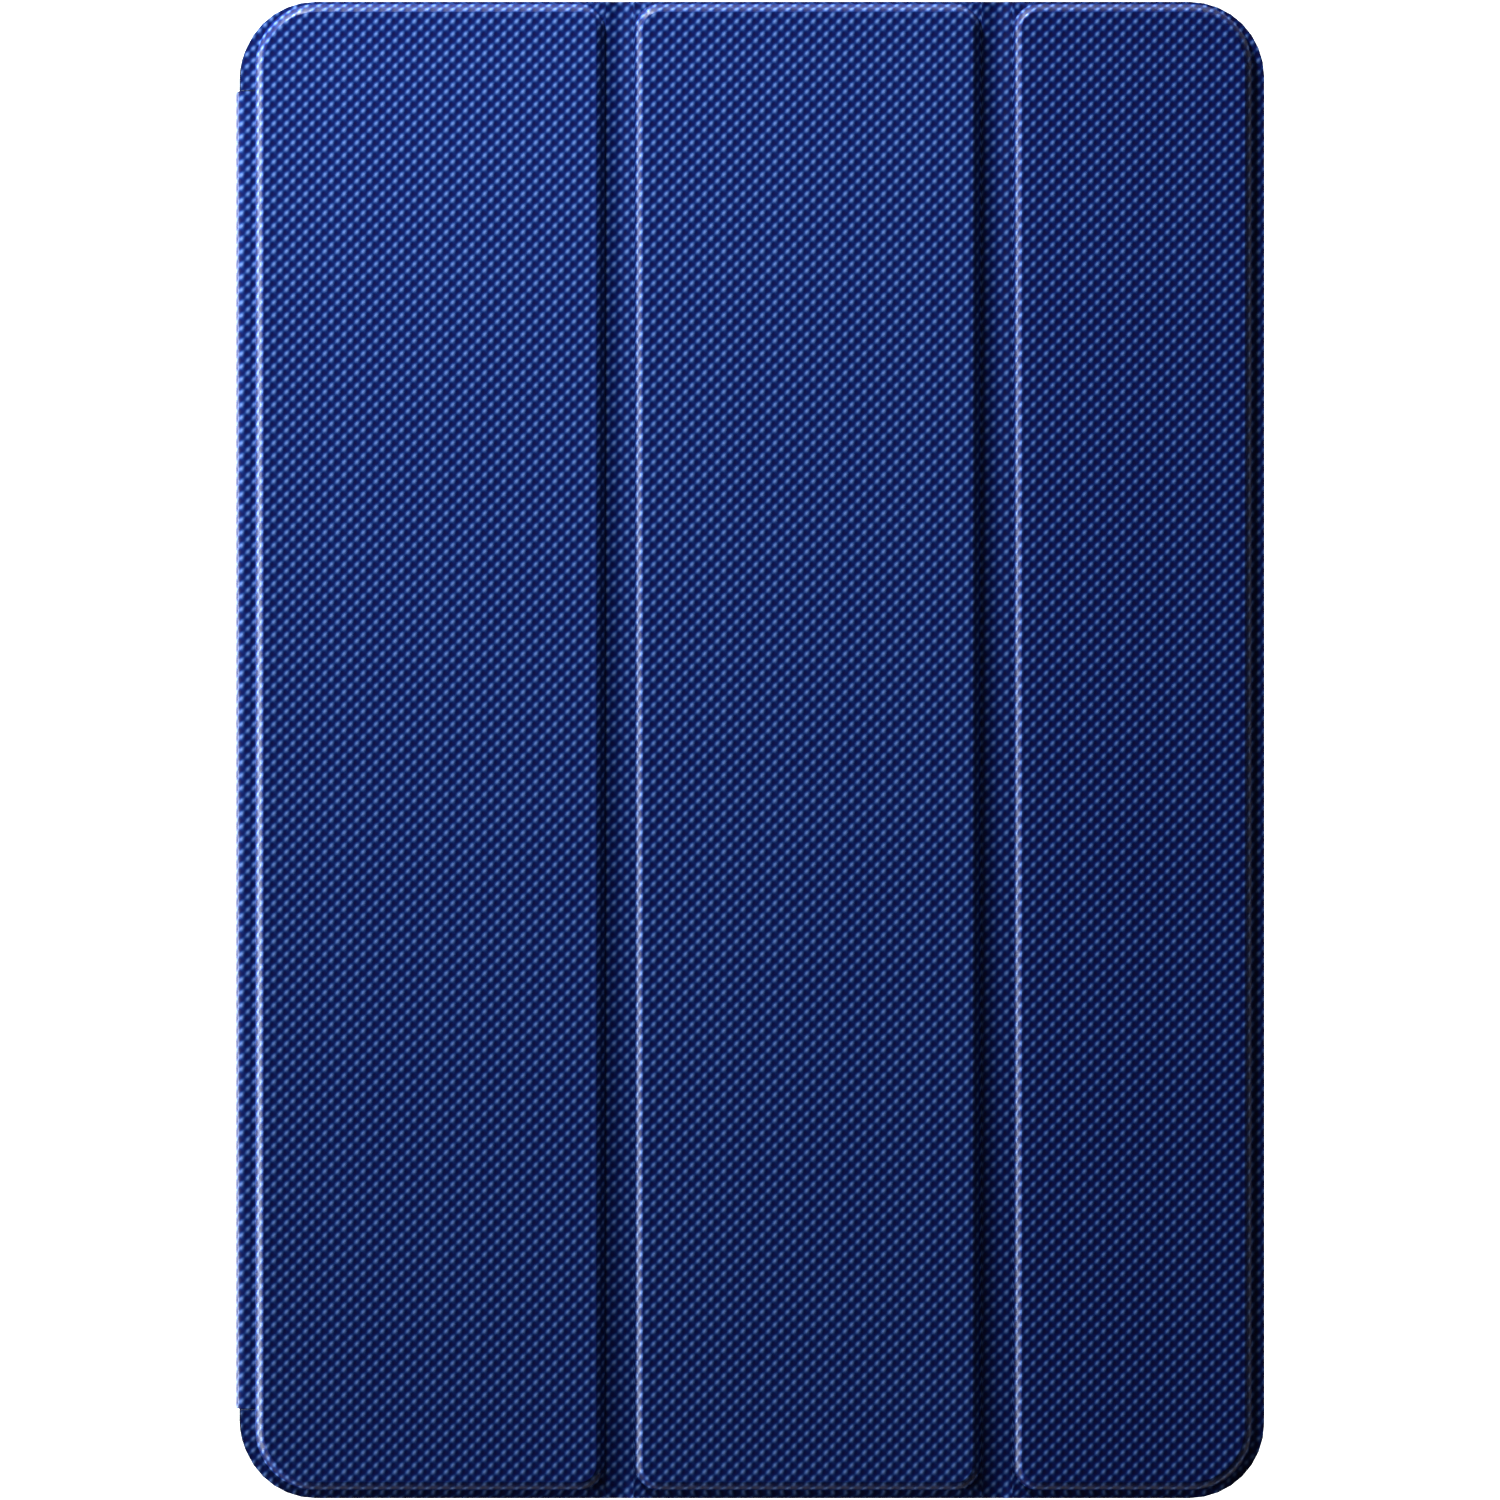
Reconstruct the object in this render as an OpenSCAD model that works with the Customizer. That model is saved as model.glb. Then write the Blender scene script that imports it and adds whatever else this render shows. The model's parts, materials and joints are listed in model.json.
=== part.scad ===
// Tri-fold tablet case with a slim wireless keyboard held inside its cover.
// Millimetres. Closed and lying on its back: +Z is up through the cover, +Y is the tablet's
// long side, -X is the spine. The origin is the centre of the footprint at the tray's back.

/* [Tablet] */
// Width of the tablet that the tray holds
tablet_w = 137.3; // [136.5:0.1:138.5]
// Length of the tablet
tablet_l = 202; // [200:0.5:206]
// Thickness of the tablet
tablet_t = 9.7; // [9:0.1:10.5]

/* [Tray] */
// Thickness of the tray's floor
floor_t = 1.6; // [1.5:0.1:2]
// Thickness of the two short walls
end_wall = 1.5; // [1.2:0.1:1.8]
// Thickness of the long wall at the free edge
free_wall = 1; // [0.9:0.1:1.4]
// Thickness of the long wall beside the spine
hinge_wall = 1.1; // [0.9:0.1:1.3]
// How far the snap lip reaches in over the tablet
lip_reach = 1.2; // [0.8:0.1:1.8]
// Thickness of the snap lip
lip_t = 0.8; // [0.7:0.1:1.2]
// Outer corner radius of the case
corner_r = 10.3; // [9:0.1:11]

/* [Cover] */
// Thickness of the woven outer skin
skin_t = 0.6; // [0.5:0.05:0.7]
// Thickness of the soft inner lining
lining_t = 0.6; // [0.5:0.05:0.7]
// Thickness of the stiff boards
board_t = 1.2; // [1:0.1:1.4]
// Width of the wide pads
wide_pad = 47.5; // [46:0.1:48]
// Width of the middle pad
middle_pad = 46.8; // [46:0.1:48]
// Width of the fold between the wide pad and the middle pad
near_crease = 4.8; // [4.4:0.1:5.2]
// Width of the fold between the middle pad and the narrow pad
far_crease = 5.2; // [4.8:0.1:5.6]
// Flat margin at the free edge
free_margin = 2.1; // [1.6:0.1:2.6]
// Flat margin at the top end
top_margin = 0.8; // [0.7:0.1:1.6]
// Flat margin at the bottom end
bottom_margin = 1.6; // [0.8:0.1:2]

/* [Keyboard] */
// Length of the keyboard along its rows
keyboard_l = 200; // [198:0.5:202]
// Depth of the keyboard from its back row to its front edge
keyboard_d = 134; // [132:0.5:134]
// Width of one key unit
key_pitch = 13.8; // [13.4:0.1:13.9]
// Depth of one row of keys
row_pitch = 17; // [16.5:0.1:17]
// How far a key travels
key_travel = 1.2; // [1:0.1:1.2]

/* [Hidden] */
big = 400;
corner_steps = 8;
key_corner_steps = 2;

// Tray, with distances across the case counted from the spine's outer face
tablet_gap = 0.1;
spine_film_t = 0.4;
spine_lining_t = 0.3;
spine_t = skin_t + spine_film_t + spine_lining_t;
spine_gap = 0.2;
cover_overhang = 0.1;
bay_left = spine_t + spine_gap + hinge_wall;
bay_w = tablet_w + 2 * tablet_gap;
bay_l = tablet_l + 2 * tablet_gap;
bay_d = tablet_t + tablet_gap;
bay_r = corner_r - end_wall;
case_w = bay_left + bay_w + free_wall + cover_overhang;
case_l = bay_l + 2 * end_wall + 2 * cover_overhang;
tray_left = 0.3;
tray_right = case_w - cover_overhang;
tray_end = case_l / 2 - cover_overhang;
tray_top = floor_t + bay_d + lip_t;
spine_half = 90.4;
spine_notch_half = spine_half + 0.25;
flap_reach = 17.8;
tape_t = 0.2;
flap_recess = skin_t + tape_t;
bottom_round = 1.6;
round_steps = 4;

// Openings in the tray
camera_x = 56;
camera_y = 86;
camera_side = 15;
slot_z = floor_t + 1.6;
slot_h = 6.4;
port_w = 13;
power_x = 44;
power_w = 16;
volume_y = 66;
volume_l = 26;
speaker_x = 28;
speaker_pitch = 5;
speaker_w = 3.4;
speaker_h = 1.8;
speaker_count = 4;

// Cover
cover_t = skin_t + board_t + lining_t;
kb_gap_cover = 0.5;
kb_gap_tray = 0.3;
kb_w = 4.2;
kb_bumper_h = 0.9;
kb_back_z = tray_top + kb_gap_tray + kb_bumper_h + kb_w;
top_z = kb_back_z + kb_gap_cover + cover_t;
flange_z = top_z - board_t;
lining_z = top_z - cover_t;
board_z = lining_z + lining_t;
cover_left = 0.7;
strip_r = 2.8;
foot_r = 2.5;
strip_inner_r = strip_r - skin_t - lining_t;
spine_top = flange_z - strip_r;
pad_1 = [strip_r, strip_r + wide_pad];
pad_2 = [pad_1[1] + near_crease, pad_1[1] + near_crease + middle_pad];
pad_3 = [pad_2[1] + far_crease, case_w - free_margin];
pad_ends = [-case_l / 2 + bottom_margin, case_l / 2 - top_margin];
pad_r = 3;
pad_outer_r = corner_r - 2.4;

// Magnets in the cover and in the keyboard
magnet_l = 16;
magnet_w = 5;
magnet_t = 1.6;
magnet_fit = 0.1;
back_magnet_v = 62;
back_magnet_u = 60;
front_magnet_v = -52;
front_magnet_us = [-70, 30];
edge_magnet_s = case_w - 6.7;
wake_magnet_y = 20;
wake_magnet_side = 6;

// Keyboard: u runs along the rows, v away from the typist, w out through the keys
kb_r = 8;
kb_wall = 1.2;
kb_floor = 0.8;
deck_t = 0.7;
deck_w = kb_w - deck_t;
plate_t = 0.4;
membrane_t = 0.3;
dome_base_t = 0.3;
membrane_w = kb_floor + plate_t;
dome_w = membrane_w + membrane_t;
key_units = [
    [for (i = [0:13]) 1],
    [for (i = [0:13]) 1],
    concat(1.25, [for (i = [0:11]) 1], 0.75),
    concat(1.5, [for (i = [0:10]) 1], 1.5),
    concat(2, [for (i = [0:9]) 1], 2),
    [1, 1, 1, 1, 5, 1, 1, 1, 1, 1]];
key_bottom = dome_w + dome_base_t + key_travel + 0.1;
key_top = kb_w + 0.8;
key_flange_t = 0.3;
key_gap = 1.6;
key_clear = 0.35;
key_flange = 0.45;
key_r = 1.4;
key_tips = 58;
fn_pitch = 11;
key_bed_end = key_tips - fn_pitch - (len(key_units) - 1) * row_pitch;
dome_r = 2.4;
dome_sides = 12;
round_fn = 24;
screw_us = [-94, 0, 94];
screw_v = 62;
screw_head_r = 1.7;
screw_shank_r = 0.7;
screw_boss_r = 2;
bumper_r = 2.2;
bumper_u = 86;
bumper_v = 63;
foot_l = 24;
foot_w = 5;
foot_t = 0.3;
foot_u = 70;
foot_v = 48;
front_bay = [-59.5, -39.5];
battery_u = [-50, 18];
board_u = [42, 92];
board_top = kb_floor + plate_t;
chips = [[48, -58, 8, 1], [60, -57, 3, 0.8], [82, -58, 4, 1.2]];
tail_u = [46, 60];
tail_l = 6;
light_us = [66, 72, 78];
light_v = -52;
light_r = 0.9;
switch_v = -55.5;
switch_travel = 4;
switch_knob = 3.4;
switch_body = [3, 3.2, 2.2];
knob_u = [keyboard_l / 2 - 2.5, keyboard_l / 2 + 0.6];
knob_w = [1.3, 2.7];
side_gap = 0.3;
port_v = -44;
port_side = [7.6, 2.5];
port_l = 5.5;
port_w1 = 0.9;
port_shell_t = 0.4;
row_units = 14;
split_key = 8;

function arc(cx, cy, r, from, steps) =
    [for (i = [0:steps]) [cx + r * cos(from + 90 * i / steps), cy + r * sin(from + 90 * i / steps)]];

// A rectangle with its own radius at each corner: near left, near right, far right, far left
function outline(x1, x2, y1, y2, r, steps = corner_steps) = concat(
    arc(x1 + r[0], y1 + r[0], r[0], 180, steps),
    arc(x2 - r[1], y1 + r[1], r[1], 270, steps),
    arc(x2 - r[2], y2 - r[2], r[2], 0, steps),
    arc(x1 + r[3], y2 - r[3], r[3], 90, steps));

function units_before(row, i) = i == 0 ? 0 : units_before(row, i - 1) + key_units[row][i - 1];
function key_u(row, i) = (units_before(row, i) + key_units[row][i] / 2 - row_units / 2) * key_pitch;
function row_v(row) = row == 0 ? key_tips - fn_pitch / 2 : key_tips - fn_pitch - (row - 0.5) * row_pitch;
function row_depth(row) = (row == 0 ? fn_pitch : row_pitch) - key_gap;

module from_spine() {
    translate([-case_w / 2, 0, 0]) children();
}

module slab(points, z1, z2) {
    translate([0, 0, z1]) linear_extrude(z2 - z1) polygon(points);
}

// Extrudes a drawing of the case's end view along the spine
module along_spine(length) {
    translate([0, length / 2, 0]) rotate([90, 0, 0]) linear_extrude(length) children();
}

// A quarter of a ring in the end view, for the skin that goes round an edge
module quarter_ring(centre, r_in, r_out, from) {
    polygon(concat(
        arc(centre[0], centre[1], r_out, from, corner_steps),
        [for (i = [corner_steps:-1:0]) arc(centre[0], centre[1], r_in, from, corner_steps)[i]]));
}

module tray_layer(inset, z1, z2) {
    r = corner_r - inset;
    slab(outline(tray_left + inset, tray_right - inset, -tray_end + inset, tray_end - inset,
        [r, r, r, r]), z1, z2);
}

// The tray's outside: the edge all round its back is rounded in a few flats
module tray_blank() {
    hull() {
        for (step = [0:round_steps - 1]) {
            turn = 90 * step / round_steps;
            z = bottom_round * (1 - cos(turn));
            tray_layer(bottom_round * (1 - sin(turn)), z, z + 0.01);
        }
        tray_layer(0, bottom_round, tray_top);
    }
}

module tray_bay() {
    slab(outline(bay_left, bay_left + bay_w, -bay_l / 2, bay_l / 2,
        [bay_r, bay_r, bay_r, bay_r]), floor_t, floor_t + bay_d);
    r = bay_r - lip_reach;
    slab(outline(bay_left + lip_reach, bay_left + bay_w - lip_reach,
        -bay_l / 2 + lip_reach, bay_l / 2 - lip_reach, [r, r, r, r]), floor_t, big);
}

// Room beside and under the tray for the spine and its flap
module spine_room() {
    wall = bay_left - hinge_wall;
    along_spine(2 * spine_notch_half) polygon([[-1, -1], [flap_reach + 0.2, -1],
        [flap_reach + 0.2, flap_recess], [wall + 0.7, flap_recess],
        [wall, flap_recess + 1.1], [wall, big], [-1, big]]);
}

module wall_slot(x, y, w, l, z, h) {
    translate([x - w / 2, y - l / 2, z]) cube([w, l, h]);
}

module tray_slots() {
    middle = case_w / 2;
    slab([for (p = outline(-camera_side / 2, camera_side / 2, -camera_side / 2, camera_side / 2,
        [5, 5, 5, 5])) p + [middle + camera_x, camera_y]], -1, floor_t + 1);
    wall_slot(middle, -tray_end, port_w, 4 * end_wall, slot_z, slot_h);
    wall_slot(middle + power_x, tray_end, power_w, 4 * end_wall, slot_z, slot_h);
    wall_slot(tray_right, volume_y, 4 * free_wall, volume_l, slot_z, slot_h);
    for (side = [-1, 1])
        for (i = [0:speaker_count - 1])
            wall_slot(middle + side * (speaker_x + (i - 1.5) * speaker_pitch), -tray_end,
                speaker_w, 4 * end_wall, slot_z + (slot_h - speaker_h) / 2, speaker_h);
}

module tray_shell() {
    color([0.03, 0.05, 0.16]) from_spine() difference() {
        tray_blank();
        tray_bay();
        spine_room();
        tray_slots();
    }
}

module back_flap_skin() {
    color([0.05, 0.12, 0.4]) from_spine()
        slab(outline(foot_r, flap_reach, -spine_half, spine_half, [0.1, 3, 3, 0.1]), 0, skin_t);
}

module flap_tape() {
    color([0.9, 0.9, 0.85]) from_spine()
        slab(outline(foot_r + 1, flap_reach - 1, -spine_half + 2, spine_half - 2,
            [0.5, 2, 2, 0.5]), skin_t, flap_recess);
}

module spine_layer(s1, s2) {
    along_spine(2 * spine_half) polygon([[s1, foot_r], [s2, foot_r], [s2, spine_top], [s1, spine_top]]);
}

module spine_skin() {
    color([0.05, 0.12, 0.4]) from_spine() spine_layer(0, skin_t);
}

module spine_stiffener() {
    color([0.75, 0.72, 0.65]) from_spine() spine_layer(skin_t, skin_t + spine_film_t);
}

module spine_lining() {
    color([0.3, 0.32, 0.38]) from_spine() spine_layer(skin_t + spine_film_t, spine_t);
}

module lower_hinge_strip() {
    color([0.05, 0.12, 0.4]) from_spine() along_spine(2 * spine_half)
        quarter_ring([foot_r, foot_r], foot_r - skin_t, foot_r, 180);
}

module upper_hinge_strip() {
    color([0.05, 0.12, 0.4]) from_spine() along_spine(2 * spine_half)
        quarter_ring([strip_r, spine_top], strip_inner_r, strip_r, 90);
}

// The cover's flat outline between two distances from the spine
module cover_slice(s1, s2) {
    intersection() {
        polygon(outline(cover_left, case_w, -case_l / 2, case_l / 2,
            [corner_r, corner_r, corner_r, corner_r]));
        translate([s1, -big / 2]) square([s2 - s1, big]);
    }
}

// The first panel leaves room for the upper hinge strip
module first_slice(s2) {
    difference() {
        cover_slice(0, s2);
        translate([-1, -spine_notch_half]) square([strip_r + 1, 2 * spine_notch_half]);
    }
}

module pad_outline(pad, inset, r_near, r_far) {
    a = r_near - inset;
    b = r_far - inset;
    polygon(outline(pad[0] + inset, pad[1] - inset, pad_ends[0] + inset, pad_ends[1] - inset,
        [a, b, b, a]));
}

// children: 0 is the flat slice, 1 the pad's outline, 2 the board's outline
module panel_skin() {
    difference() {
        union() {
            translate([0, 0, board_z]) linear_extrude(skin_t) children(0);
            translate([0, 0, board_z]) linear_extrude(board_t + skin_t) children(1);
        }
        translate([0, 0, board_z - 1]) linear_extrude(board_t + 1) children(2);
    }
}

module magnet_at(s, y, grow = 0) {
    translate([s - magnet_w / 2 - grow, y - magnet_l / 2 - grow])
        square([magnet_w + 2 * grow, magnet_l + 2 * grow]);
}

module panel_1_magnet_plan(grow = 0) {
    for (side = [-1, 1]) magnet_at(case_w / 2 - back_magnet_v, side * back_magnet_u, grow);
}

module panel_3_magnet_plan(grow = 0) {
    for (u = front_magnet_us) magnet_at(case_w / 2 - front_magnet_v, -u, grow);
}

module edge_magnet_plan(grow = 0) {
    for (side = [-1, 1]) magnet_at(edge_magnet_s, side * back_magnet_u, grow);
}

module wake_magnet_plan(grow = 0) {
    side = wake_magnet_side + 2 * grow;
    translate([edge_magnet_s, wake_magnet_y]) square([side, side], center = true);
}

module board_layer() {
    translate([0, 0, board_z]) linear_extrude(board_t) children();
}

module lining_layer() {
    translate([0, 0, lining_z]) linear_extrude(lining_t) children();
}

module panel_1_skin() {
    color([0.05, 0.12, 0.4]) from_spine() panel_skin() {
        first_slice(pad_1[1]);
        pad_outline(pad_1, 0, pad_outer_r, pad_r);
        pad_outline(pad_1, skin_t, pad_outer_r, pad_r);
    }
}

module panel_1_board() {
    color([0.75, 0.72, 0.65]) from_spine() board_layer() difference() {
        pad_outline(pad_1, skin_t, pad_outer_r, pad_r);
        panel_1_magnet_plan(magnet_fit);
    }
}

module panel_1_lining() {
    color([0.3, 0.32, 0.38]) from_spine() lining_layer() first_slice(pad_1[1]);
}

module panel_1_magnets() {
    color([0.7, 0.7, 0.72]) from_spine() board_layer() panel_1_magnet_plan();
}

module panel_2_skin() {
    color([0.05, 0.12, 0.4]) from_spine() panel_skin() {
        cover_slice(pad_2[0], pad_2[1]);
        pad_outline(pad_2, 0, pad_r, pad_r);
        pad_outline(pad_2, skin_t, pad_r, pad_r);
    }
}

module panel_2_board() {
    color([0.75, 0.72, 0.65]) from_spine() board_layer() pad_outline(pad_2, skin_t, pad_r, pad_r);
}

module panel_2_lining() {
    color([0.3, 0.32, 0.38]) from_spine() lining_layer() cover_slice(pad_2[0], pad_2[1]);
}

module panel_3_skin() {
    color([0.05, 0.12, 0.4]) from_spine() panel_skin() {
        cover_slice(pad_3[0], case_w);
        pad_outline(pad_3, 0, pad_r, pad_outer_r);
        pad_outline(pad_3, skin_t, pad_r, pad_outer_r);
    }
}

module panel_3_board() {
    color([0.75, 0.72, 0.65]) from_spine() board_layer() difference() {
        pad_outline(pad_3, skin_t, pad_r, pad_outer_r);
        panel_3_magnet_plan(magnet_fit);
        edge_magnet_plan(magnet_fit);
        wake_magnet_plan(magnet_fit);
    }
}

module panel_3_lining() {
    color([0.3, 0.32, 0.38]) from_spine() lining_layer() cover_slice(pad_3[0], case_w);
}

module panel_3_magnets() {
    color([0.7, 0.7, 0.72]) from_spine() board_layer() panel_3_magnet_plan();
}

module edge_magnets() {
    color([0.7, 0.7, 0.72]) from_spine() board_layer() edge_magnet_plan();
}

module wake_magnet() {
    color([0.7, 0.7, 0.72]) from_spine() board_layer() wake_magnet_plan();
}

module crease(s1, s2) {
    color([0.04, 0.1, 0.34]) from_spine()
        translate([0, 0, lining_z]) linear_extrude(skin_t + lining_t) cover_slice(s1, s2);
}

module near_crease_strip() {
    crease(pad_1[1], pad_2[0]);
}

module far_crease_strip() {
    crease(pad_2[1], pad_3[0]);
}

// Turns the keyboard's own frame so that its keys face the tray
module keyboard_place() {
    translate([0, 0, kb_back_z]) rotate([180, 0, -90]) children();
}

module keyboard_slab(inset, w1, w2) {
    r = kb_r - inset;
    slab(outline(-keyboard_l / 2 + inset, keyboard_l / 2 - inset,
        -keyboard_d / 2 + inset, keyboard_d / 2 - inset, [r, r, r, r]), w1, w2);
}

module block(u1, u2, v1, v2, w1, w2) {
    translate([u1, v1, w1]) cube([u2 - u1, v2 - v1, w2 - w1]);
}

module peg(r, w1, w2) {
    translate([0, 0, w1]) cylinder(h = w2 - w1, r = r, $fn = round_fn);
}

module at_screws() {
    for (u = screw_us)
        for (side = [-1, 1])
            translate([u, side * screw_v, 0]) children();
}

module keyboard_back_case() {
    color([0.06, 0.06, 0.07]) keyboard_place() difference() {
        keyboard_slab(0, 0, deck_w);
        keyboard_slab(kb_wall, kb_floor, big);
        at_screws() peg(screw_head_r + 0.1, -1, kb_floor + 1);
        block(keyboard_l / 2 - 2, keyboard_l / 2 + 1, switch_v - switch_knob / 2 - side_gap,
            switch_v + switch_knob / 2 + switch_travel + side_gap,
            knob_w[0] - 0.1, knob_w[1] + 0.1);
        block(keyboard_l / 2 - 2, keyboard_l / 2 + 1, port_v - port_side[0] / 2 - 0.1,
            port_v + port_side[0] / 2 + 0.1, port_w1 - 0.05, port_w1 + port_side[1] + 0.05);
    }
}

// Every key of a row as a flat shape, grown by a margin
module key_plan(row, i, grow) {
    half_u = (key_units[row][i] * key_pitch - key_gap) / 2 + grow;
    half_v = row_depth(row) / 2 + grow;
    r = key_r + min(grow, 0);
    split = row == len(key_units) - 1 && i == split_key;
    for (side = split ? [-1, 1] : [0]) {
        v = row_v(row) + side * (row_depth(row) + key_gap) / 4;
        deep = split ? (row_depth(row) - key_gap) / 4 + grow : half_v;
        polygon(outline(key_u(row, i) - half_u, key_u(row, i) + half_u, v - deep, v + deep,
            [r, r, r, r], key_corner_steps));
    }
}

module key_run(row, first, last) {
    keyboard_place() for (i = [first:last]) {
        translate([0, 0, key_bottom]) linear_extrude(key_flange_t) key_plan(row, i, key_flange);
        translate([0, 0, key_bottom]) linear_extrude(key_top - key_bottom) key_plan(row, i, 0);
    }
}

module keyboard_deck() {
    color([0.07, 0.07, 0.08]) keyboard_place() {
        difference() {
            keyboard_slab(0, deck_w, kb_w);
            translate([0, 0, deck_w - 1]) linear_extrude(deck_t + 2)
                for (row = [0:len(key_units) - 1])
                    for (i = [0:len(key_units[row]) - 1])
                        key_plan(row, i, key_clear);
            for (u = light_us)
                translate([u, light_v, 0]) peg(light_r, deck_w - 1, kb_w + 1);
        }
        at_screws() difference() {
            peg(screw_boss_r, kb_floor, deck_w);
            peg(screw_shank_r, kb_floor - 1, deck_w - 1);
        }
    }
}

module key_bed(w1, w2) {
    half_u = row_units * key_pitch / 2;
    block(-half_u, half_u, key_bed_end, key_tips, w1, w2);
}

module base_plate() {
    color([0.72, 0.73, 0.75]) keyboard_place() key_bed(kb_floor, membrane_w);
}

module membrane_circuit() {
    color([0.85, 0.87, 0.9]) keyboard_place() {
        key_bed(membrane_w, dome_w);
        block(tail_u[0], tail_u[1], front_bay[1] - tail_l, key_bed_end, membrane_w, dome_w);
    }
}

module dome_sheet() {
    color([0.88, 0.88, 0.86]) keyboard_place() {
        key_bed(dome_w, dome_w + dome_base_t);
        for (row = [0:len(key_units) - 1])
            for (i = [0:len(key_units[row]) - 1])
                translate([key_u(row, i), row_v(row), dome_w])
                    cylinder(h = key_bottom - dome_w - 0.05, r = dome_r, $fn = dome_sides);
    }
}

module battery() {
    color([0.75, 0.77, 0.8]) keyboard_place()
        slab(outline(battery_u[0], battery_u[1], front_bay[0], front_bay[1], [1, 1, 1, 1]),
            kb_floor, deck_w - 0.3);
}

module controller_board() {
    color([0.05, 0.3, 0.12]) keyboard_place() {
        block(board_u[0], board_u[1], front_bay[0], front_bay[1], kb_floor, board_top);
        for (chip = chips)
            block(chip[0], chip[0] + chip[2], chip[1], chip[1] + chip[2], board_top, board_top + chip[3]);
    }
}

module charging_port() {
    color([0.75, 0.75, 0.76]) keyboard_place() difference() {
        block(keyboard_l / 2 - port_l, keyboard_l / 2, port_v - port_side[0] / 2,
            port_v + port_side[0] / 2, port_w1, port_w1 + port_side[1]);
        block(keyboard_l / 2 - port_l + 1, keyboard_l / 2 + 1,
            port_v - port_side[0] / 2 + port_shell_t, port_v + port_side[0] / 2 - port_shell_t,
            port_w1 + port_shell_t, port_w1 + port_side[1] - port_shell_t);
    }
}

module status_lights() {
    color([0.9, 0.95, 1]) keyboard_place() for (u = light_us)
        translate([u, light_v, 0]) peg(light_r - 0.05, board_top, kb_w);
}

module screen_bumpers() {
    color([0.15, 0.15, 0.16]) keyboard_place() for (side = [-1, 1])
        for (end = [-1, 1])
            translate([side * bumper_u, end * bumper_v, 0]) peg(bumper_r, kb_w, kb_w + kb_bumper_h);
}

module keyboard_feet() {
    color([0.12, 0.12, 0.13]) keyboard_place() for (side = [-1, 1])
        for (end = [-1, 1])
            slab(outline(side * foot_u - foot_l / 2, side * foot_u + foot_l / 2,
                end * foot_v - foot_w / 2, end * foot_v + foot_w / 2, [2, 2, 2, 2]), -foot_t, 0);
}

module case_screws() {
    color([0.6, 0.6, 0.62]) keyboard_place() at_screws() {
        peg(screw_head_r, 0.1, kb_floor);
        peg(screw_shank_r - 0.02, 0.1, deck_w - 1.2);
    }
}

module magnet_block(u, v) {
    block(u - magnet_l / 2, u + magnet_l / 2, v - magnet_w / 2, v + magnet_w / 2,
        kb_floor, kb_floor + magnet_t);
}

module keyboard_magnets() {
    color([0.7, 0.7, 0.72]) keyboard_place() {
        for (side = [-1, 1])
            magnet_block(side * back_magnet_u, back_magnet_v);
        for (u = front_magnet_us) magnet_block(u, front_magnet_v);
    }
}

module power_switch_body() {
    color([0.5, 0.5, 0.52]) keyboard_place()
        block(knob_u[0] - 0.3 - switch_body[0], knob_u[0] - 0.3, switch_v - switch_body[1],
            switch_v + switch_travel + switch_body[1], kb_floor, kb_floor + switch_body[2]);
}

module power_switch_slider() {
    color([0.2, 0.2, 0.22]) keyboard_place()
        block(knob_u[0], knob_u[1], switch_v - switch_knob / 2, switch_v + switch_knob / 2,
            knob_w[0], knob_w[1]);
}

module function_keys() {
    color([0.1, 0.1, 0.11]) key_run(0, 0, 13);
}

module number_keys() {
    color([0.1, 0.1, 0.11]) key_run(1, 0, 12);
}

module backspace_key() {
    color([0.1, 0.1, 0.11]) key_run(1, 13, 13);
}

module tab_key() {
    color([0.1, 0.1, 0.11]) key_run(2, 0, 0);
}

module upper_letter_keys() {
    color([0.1, 0.1, 0.11]) key_run(2, 1, 13);
}

module caps_key() {
    color([0.1, 0.1, 0.11]) key_run(3, 0, 0);
}

module home_letter_keys() {
    color([0.1, 0.1, 0.11]) key_run(3, 1, 11);
}

module enter_key() {
    color([0.1, 0.1, 0.11]) key_run(3, 12, 12);
}

module left_shift_key() {
    color([0.1, 0.1, 0.11]) key_run(4, 0, 0);
}

module lower_letter_keys() {
    color([0.1, 0.1, 0.11]) key_run(4, 1, 10);
}

module right_shift_key() {
    color([0.1, 0.1, 0.11]) key_run(4, 11, 11);
}

module modifier_keys() {
    color([0.1, 0.1, 0.11]) {
        key_run(5, 0, 3);
        key_run(5, 5, 6);
    }
}

module space_bar() {
    color([0.1, 0.1, 0.11]) key_run(5, 4, 4);
}

module arrow_keys() {
    color([0.1, 0.1, 0.11]) key_run(5, 7, 9);
}

tray_shell();
back_flap_skin();
flap_tape();
spine_skin();
spine_stiffener();
spine_lining();
lower_hinge_strip();
panel_1_skin();
panel_1_board();
panel_1_lining();
panel_1_magnets();
upper_hinge_strip();
panel_2_skin();
panel_2_board();
panel_2_lining();
near_crease_strip();
panel_3_skin();
panel_3_board();
panel_3_lining();
far_crease_strip();
panel_3_magnets();
edge_magnets();
wake_magnet();
keyboard_back_case();
keyboard_deck();
base_plate();
membrane_circuit();
dome_sheet();
battery();
controller_board();
charging_port();
status_lights();
screen_bumpers();
keyboard_feet();
case_screws();
keyboard_magnets();
power_switch_body();
power_switch_slider();
function_keys();
number_keys();
backspace_key();
tab_key();
upper_letter_keys();
caps_key();
home_letter_keys();
enter_key();
left_shift_key();
lower_letter_keys();
right_shift_key();
modifier_keys();
space_bar();
arrow_keys();
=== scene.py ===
# Tri-fold tablet case with a slim keyboard inside its cover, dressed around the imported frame.
import json
import math

import bmesh
import bpy
from mathutils import Matrix, Vector


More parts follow.
